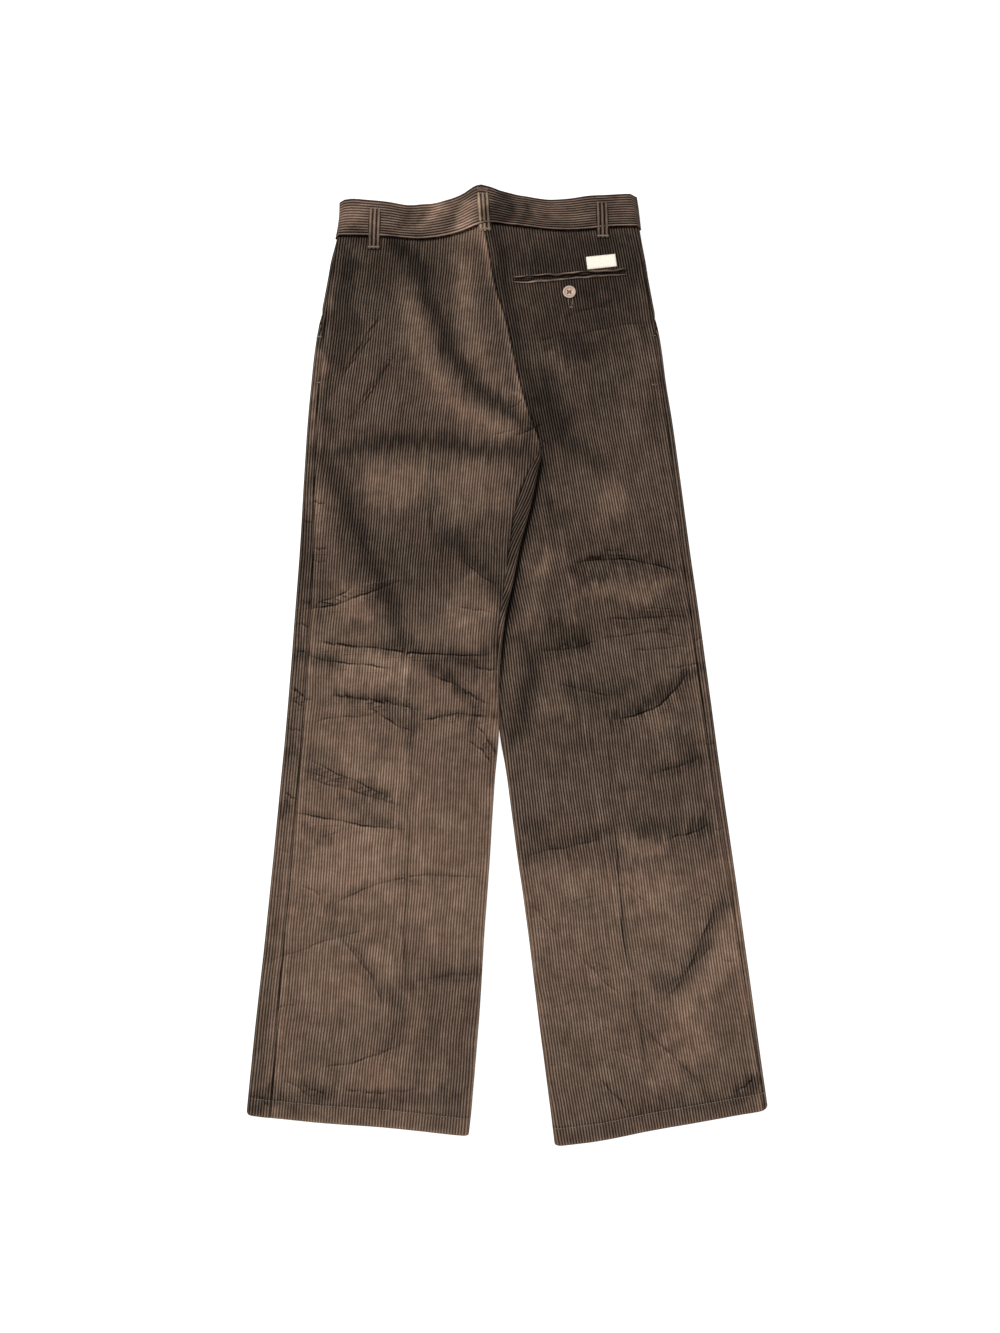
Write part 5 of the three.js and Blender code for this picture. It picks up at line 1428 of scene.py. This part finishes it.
# Thread: many short stitches as one mesh
def stitches(name, starts, ends, thickness, material, arch=0.25):
    # each stitch is a six-sided tube along its own line, arched and narrowed towards both ends
    starts, ends = np.asarray(starts, float), np.asarray(ends, float)
    along = ends - starts
    flat = np.stack([-along[:, 1], along[:, 0], 0 * along[:, 0]], -1)
    flat /= np.maximum(np.linalg.norm(flat, axis=1, keepdims=True), 1e-9)
    t = np.array([0, 0.12, 0.5, 0.88, 1.0])
    girth = np.array([0.25, 0.8, 1.0, 0.8, 0.25]) * thickness / 2
    rise = np.array([-0.6, 0.1, 1.0, 0.1, -0.6]) * arch
    angle = np.arange(6) * np.pi / 3
    centre = starts[:, None, :] + along[:, None, :] * t[None, :, None]
    centre[..., 2] += rise[None, :]
    ring = (centre[:, :, None, :] + girth[None, :, None, None] * (np.cos(angle)[None, None, :, None] * flat[:, None, None, :]
            + np.sin(angle)[None, None, :, None] * np.array([0, 0, 1.0])[None, None, None, :]))
    ids = np.arange(30).reshape(5, 6)
    ids = np.concatenate([ids, ids[:, :1]], 1)
    a, b, c, d = ids[:-1, :-1].ravel(), ids[:-1, 1:].ravel(), ids[1:, 1:].ravel(), ids[1:, :-1].ravel()
    one = [np.stack([a, b, c], 1), np.stack([a, c, d], 1)]
    for row, turned in ((0, True), (4, False)):
        fan = np.stack([np.full(4, ids[row, 0]), ids[row, 1:5], ids[row, 2:6]], 1)
        one.append(fan[:, ::-1] if turned else fan)
    one = np.concatenate(one)
    faces = (one[None, :, :] + 30 * np.arange(len(starts))[:, None, None]).reshape(-1, 3)
    piece = newObject(name, ring.reshape(-1, 3), faces, material)
    return piece


def seamRun(x, y, z, length, gap):
    # starts and ends of stitches of a length along a polyline
    way = np.concatenate([[0], np.cumsum(np.hypot(np.diff(x), np.diff(y)))])
    begin = np.arange(gap, way[-1] - length, length + gap)
    pick = lambda s: np.stack([np.interp(s, way, x), np.interp(s, way, y), np.interp(s, way, z)], -1)
    return pick(begin), pick(begin + length)


threads = {"hem": (3.0, 1.0, 0.62), "tack": 0.7}


def hemStitches(side):
    half = halves[side]
    y0 = cut["hemY"] + cut["hemDepth"]
    p = np.linspace(-24, 250, 400)
    seamX = half["seam"](y0)
    foldX = half["fold"](y0)
    x = np.linspace(half["edge"](y0) - half["out"] * 3.0, foldX + half["out"] * 3.0, 300)
    y = half["hem"](x) + cut["hemDepth"] + 0.12 * np.sin(x / 6.1)
    z = topSurface(half, x, y) - wale["depth"] * 0.25
    keep = np.abs(x - seamX) > 0.8
    starts, ends = seamRun(x[keep], y[keep], z[keep], threads["hem"][0], threads["hem"][1])
    piece = stitches("hemStitches" + side.title(), starts, ends, threads["hem"][2], threadMaterial)
    return piece


hemThreads = {side: hemStitches(side) for side in halves}


def tack(x, y, dx, dy, width, count):
    # close parallel threads across the way (dx, dy), lying on whatever carries them
    length = math.hypot(dx, dy)
    ax, ay = dx / length, dy / length
    t = np.linspace(0, 1, count)
    cx, cy = x + dx * t, y + dy * t
    starts = np.stack([cx - ay * width / 2, cy + ax * width / 2], -1)
    ends = np.stack([cx + ay * width / 2 + ax * 0.3, cy - ax * width / 2 + ay * 0.3], -1)
    return starts, ends


tackList = []
for name, topX, topY, lowX, lowY in loops["back"]:
    for x, y in ((topX, topY - 2.2), (lowX, lowY + 2.2)):
        tackList.append((x - 6.6, y, 13.2, 0.0, 2.4, 22, 2.2))
print("stitching")

starts, ends = [], []
for x, y, dx, dy, width, count, raised in tackList:
    s, e = tack(x, y, dx, dy, width, count)
    middle = (s + e) / 2
    z = restingHeight(middle[:, 0], middle[:, 1]) + raised
    starts.append(np.column_stack([s, z]))
    ends.append(np.column_stack([e, z]))
loopTacks = stitches("loopTacks", np.concatenate(starts), np.concatenate(ends), 0.6, threadMaterial, 0.2)


# Bar tacks of the side pockets, the buttonhole's edge, the button's thread
smallTacks = [  # picture place of the middle, direction and length in mm, thread length, threads
    (319, 337, 0.0, 7.0, 2.0, 12), (318, 383, 0.0, 7.0, 2.0, 12), (653, 336, 0.0, 5.0, 1.8, 9),
    (654, 385, 0.0, 5.0, 1.8, 9),
    (571, 307.5, 0.0, 4.0, 1.6, 8), (568.4, 302, 90.0, 8.0, 1.1, 14), (572.2, 302, 90.0, 8.0, 1.1, 14),
]
starts, ends = [], []
for u, v, turn, length, width, count in smallTacks:
    x, y = seenAt(u, v)
    dx, dy = length * math.cos(math.radians(turn)), length * math.sin(math.radians(turn))
    s, e = tack(x - dx / 2, y - dy / 2, dx, dy, width, count)
    middle = (s + e) / 2
    z = restingHeight(middle[:, 0], middle[:, 1], 0.5, 0.5) + 0.1
    starts.append(np.column_stack([s, z]))
    ends.append(np.column_stack([e, z]))
pocketTacks = stitches("pocketTacks", np.concatenate(starts), np.concatenate(ends), 0.55, threadMaterial, 0.2)

holes = button["holeSpread"]
threadTop = buttonSeat + 1.75
starts = [(button["x"] + dx, button["y"] - holes, threadTop) for dx in (-2.2, -1.9, -1.6, 1.6, 1.9, 2.2)]
ends = [(x, y + 2 * holes, z) for x, y, z in starts]
buttonThread = stitches("buttonThread", starts, ends, 0.5, darkThread, 0.35)

# The label is sewn down close to its edge
labelThread = plainMaterial("labelThread", (0.55, 0.50, 0.40), 0.8, 2500)
halfW, halfH = label["width"] / 2 - 1.0, label["height"] / 2 - 1.0
corners = [(-halfW, -halfH), (halfW, -halfH), (halfW, halfH), (-halfW, halfH), (-halfW, -halfH)]
starts, ends = [], []
for (ax, ay), (bx, by) in zip(corners[:-1], corners[1:]):
    right, high = np.linspace(ax, bx, 60), np.linspace(ay, by, 60)
    x = label["x"] + right * math.cos(label["turn"]) - high * math.sin(label["turn"])
    y = label["y"] + right * math.sin(label["turn"]) + high * math.cos(label["turn"])
    z = restingHeight(x, y) + cut["seamGap"] + label["wall"] - 0.12
    s, e = seamRun(x, y, z, 1.5, 0.7)
    starts.append(s)
    ends.append(e)
labelBorder = stitches("labelBorder", np.concatenate(starts), np.concatenate(ends), 0.34, labelThread, 0.1)
print("small tacks, button thread, label border")


# Floor, light and camera
def floorMaterial():
    material = bpy.data.materials.new("paleFloor")
    material.use_nodes = True
    shader = material.node_tree.nodes["Principled BSDF"]
    shader.inputs["Base Color"].default_value = (0.5, 0.5, 0.5, 1)
    shader.inputs["Roughness"].default_value = 0.9
    shader.inputs["Specular IOR Level"].default_value = 0.1
    shader.inputs["Emission Color"].default_value = (1, 1, 1, 1)
    shader.inputs["Emission Strength"].default_value = 0.7
    return material


bpy.ops.mesh.primitive_plane_add(size=6.0, location=(0, 0, -0.0004))
floor = bpy.context.object
floor.name = "floor"
floor.data.materials.append(floorMaterial())


def areaLight(name, place, target, size, power, colour=(1, 1, 1)):
    data = bpy.data.lights.new(name, "AREA")
    data.shape = "DISK"
    data.size = size
    data.energy = power
    data.color = colour
    lamp = bpy.data.objects.new(name, data)
    bpy.context.scene.collection.objects.link(lamp)
    lamp.location = place
    aim = np.array(target, float) - np.array(place, float)
    yaw = math.atan2(aim[0], -aim[1])
    pitch = math.acos(-aim[2] / np.linalg.norm(aim))
    lamp.rotation_euler = (pitch, 0, yaw + math.pi)
    return lamp


areaLight("keyLight", (-1.1, 1.5, 2.1), (0, 0, 0), 1.2, 66, (1.0, 0.99, 0.97))
areaLight("fillLight", (0.8, -1.5, 2.4), (0, 0, 0), 2.2, 46, (0.97, 0.98, 1.0))
world = bpy.data.worlds.new("studio")
world.use_nodes = True
world.node_tree.nodes["Background"].inputs[0].default_value = (1, 1, 1, 1)
world.node_tree.nodes["Background"].inputs[1].default_value = 0.42
bpy.context.scene.world = world
bpy.context.scene.view_settings.view_transform = "Standard"

cameraData = bpy.data.cameras.new("photoCamera")
cameraData.lens = cameraSize["lens"]
cameraData.sensor_width = 36.0
camera = bpy.data.objects.new("photoCamera", cameraData)
bpy.context.scene.collection.objects.link(camera)
tilt = cameraSize["tilt"]
camera.location = ((cameraSize["aimX"] + shiftX) * mm,
                   (cameraSize["aimY"] + shiftY - cameraSize["distance"] * math.sin(tilt)) * mm,
                   (cameraSize["distance"] * math.cos(tilt) + cameraSize["raised"]) * mm)
camera.rotation_euler = (tilt, 0, 0)
bpy.context.scene.camera = camera
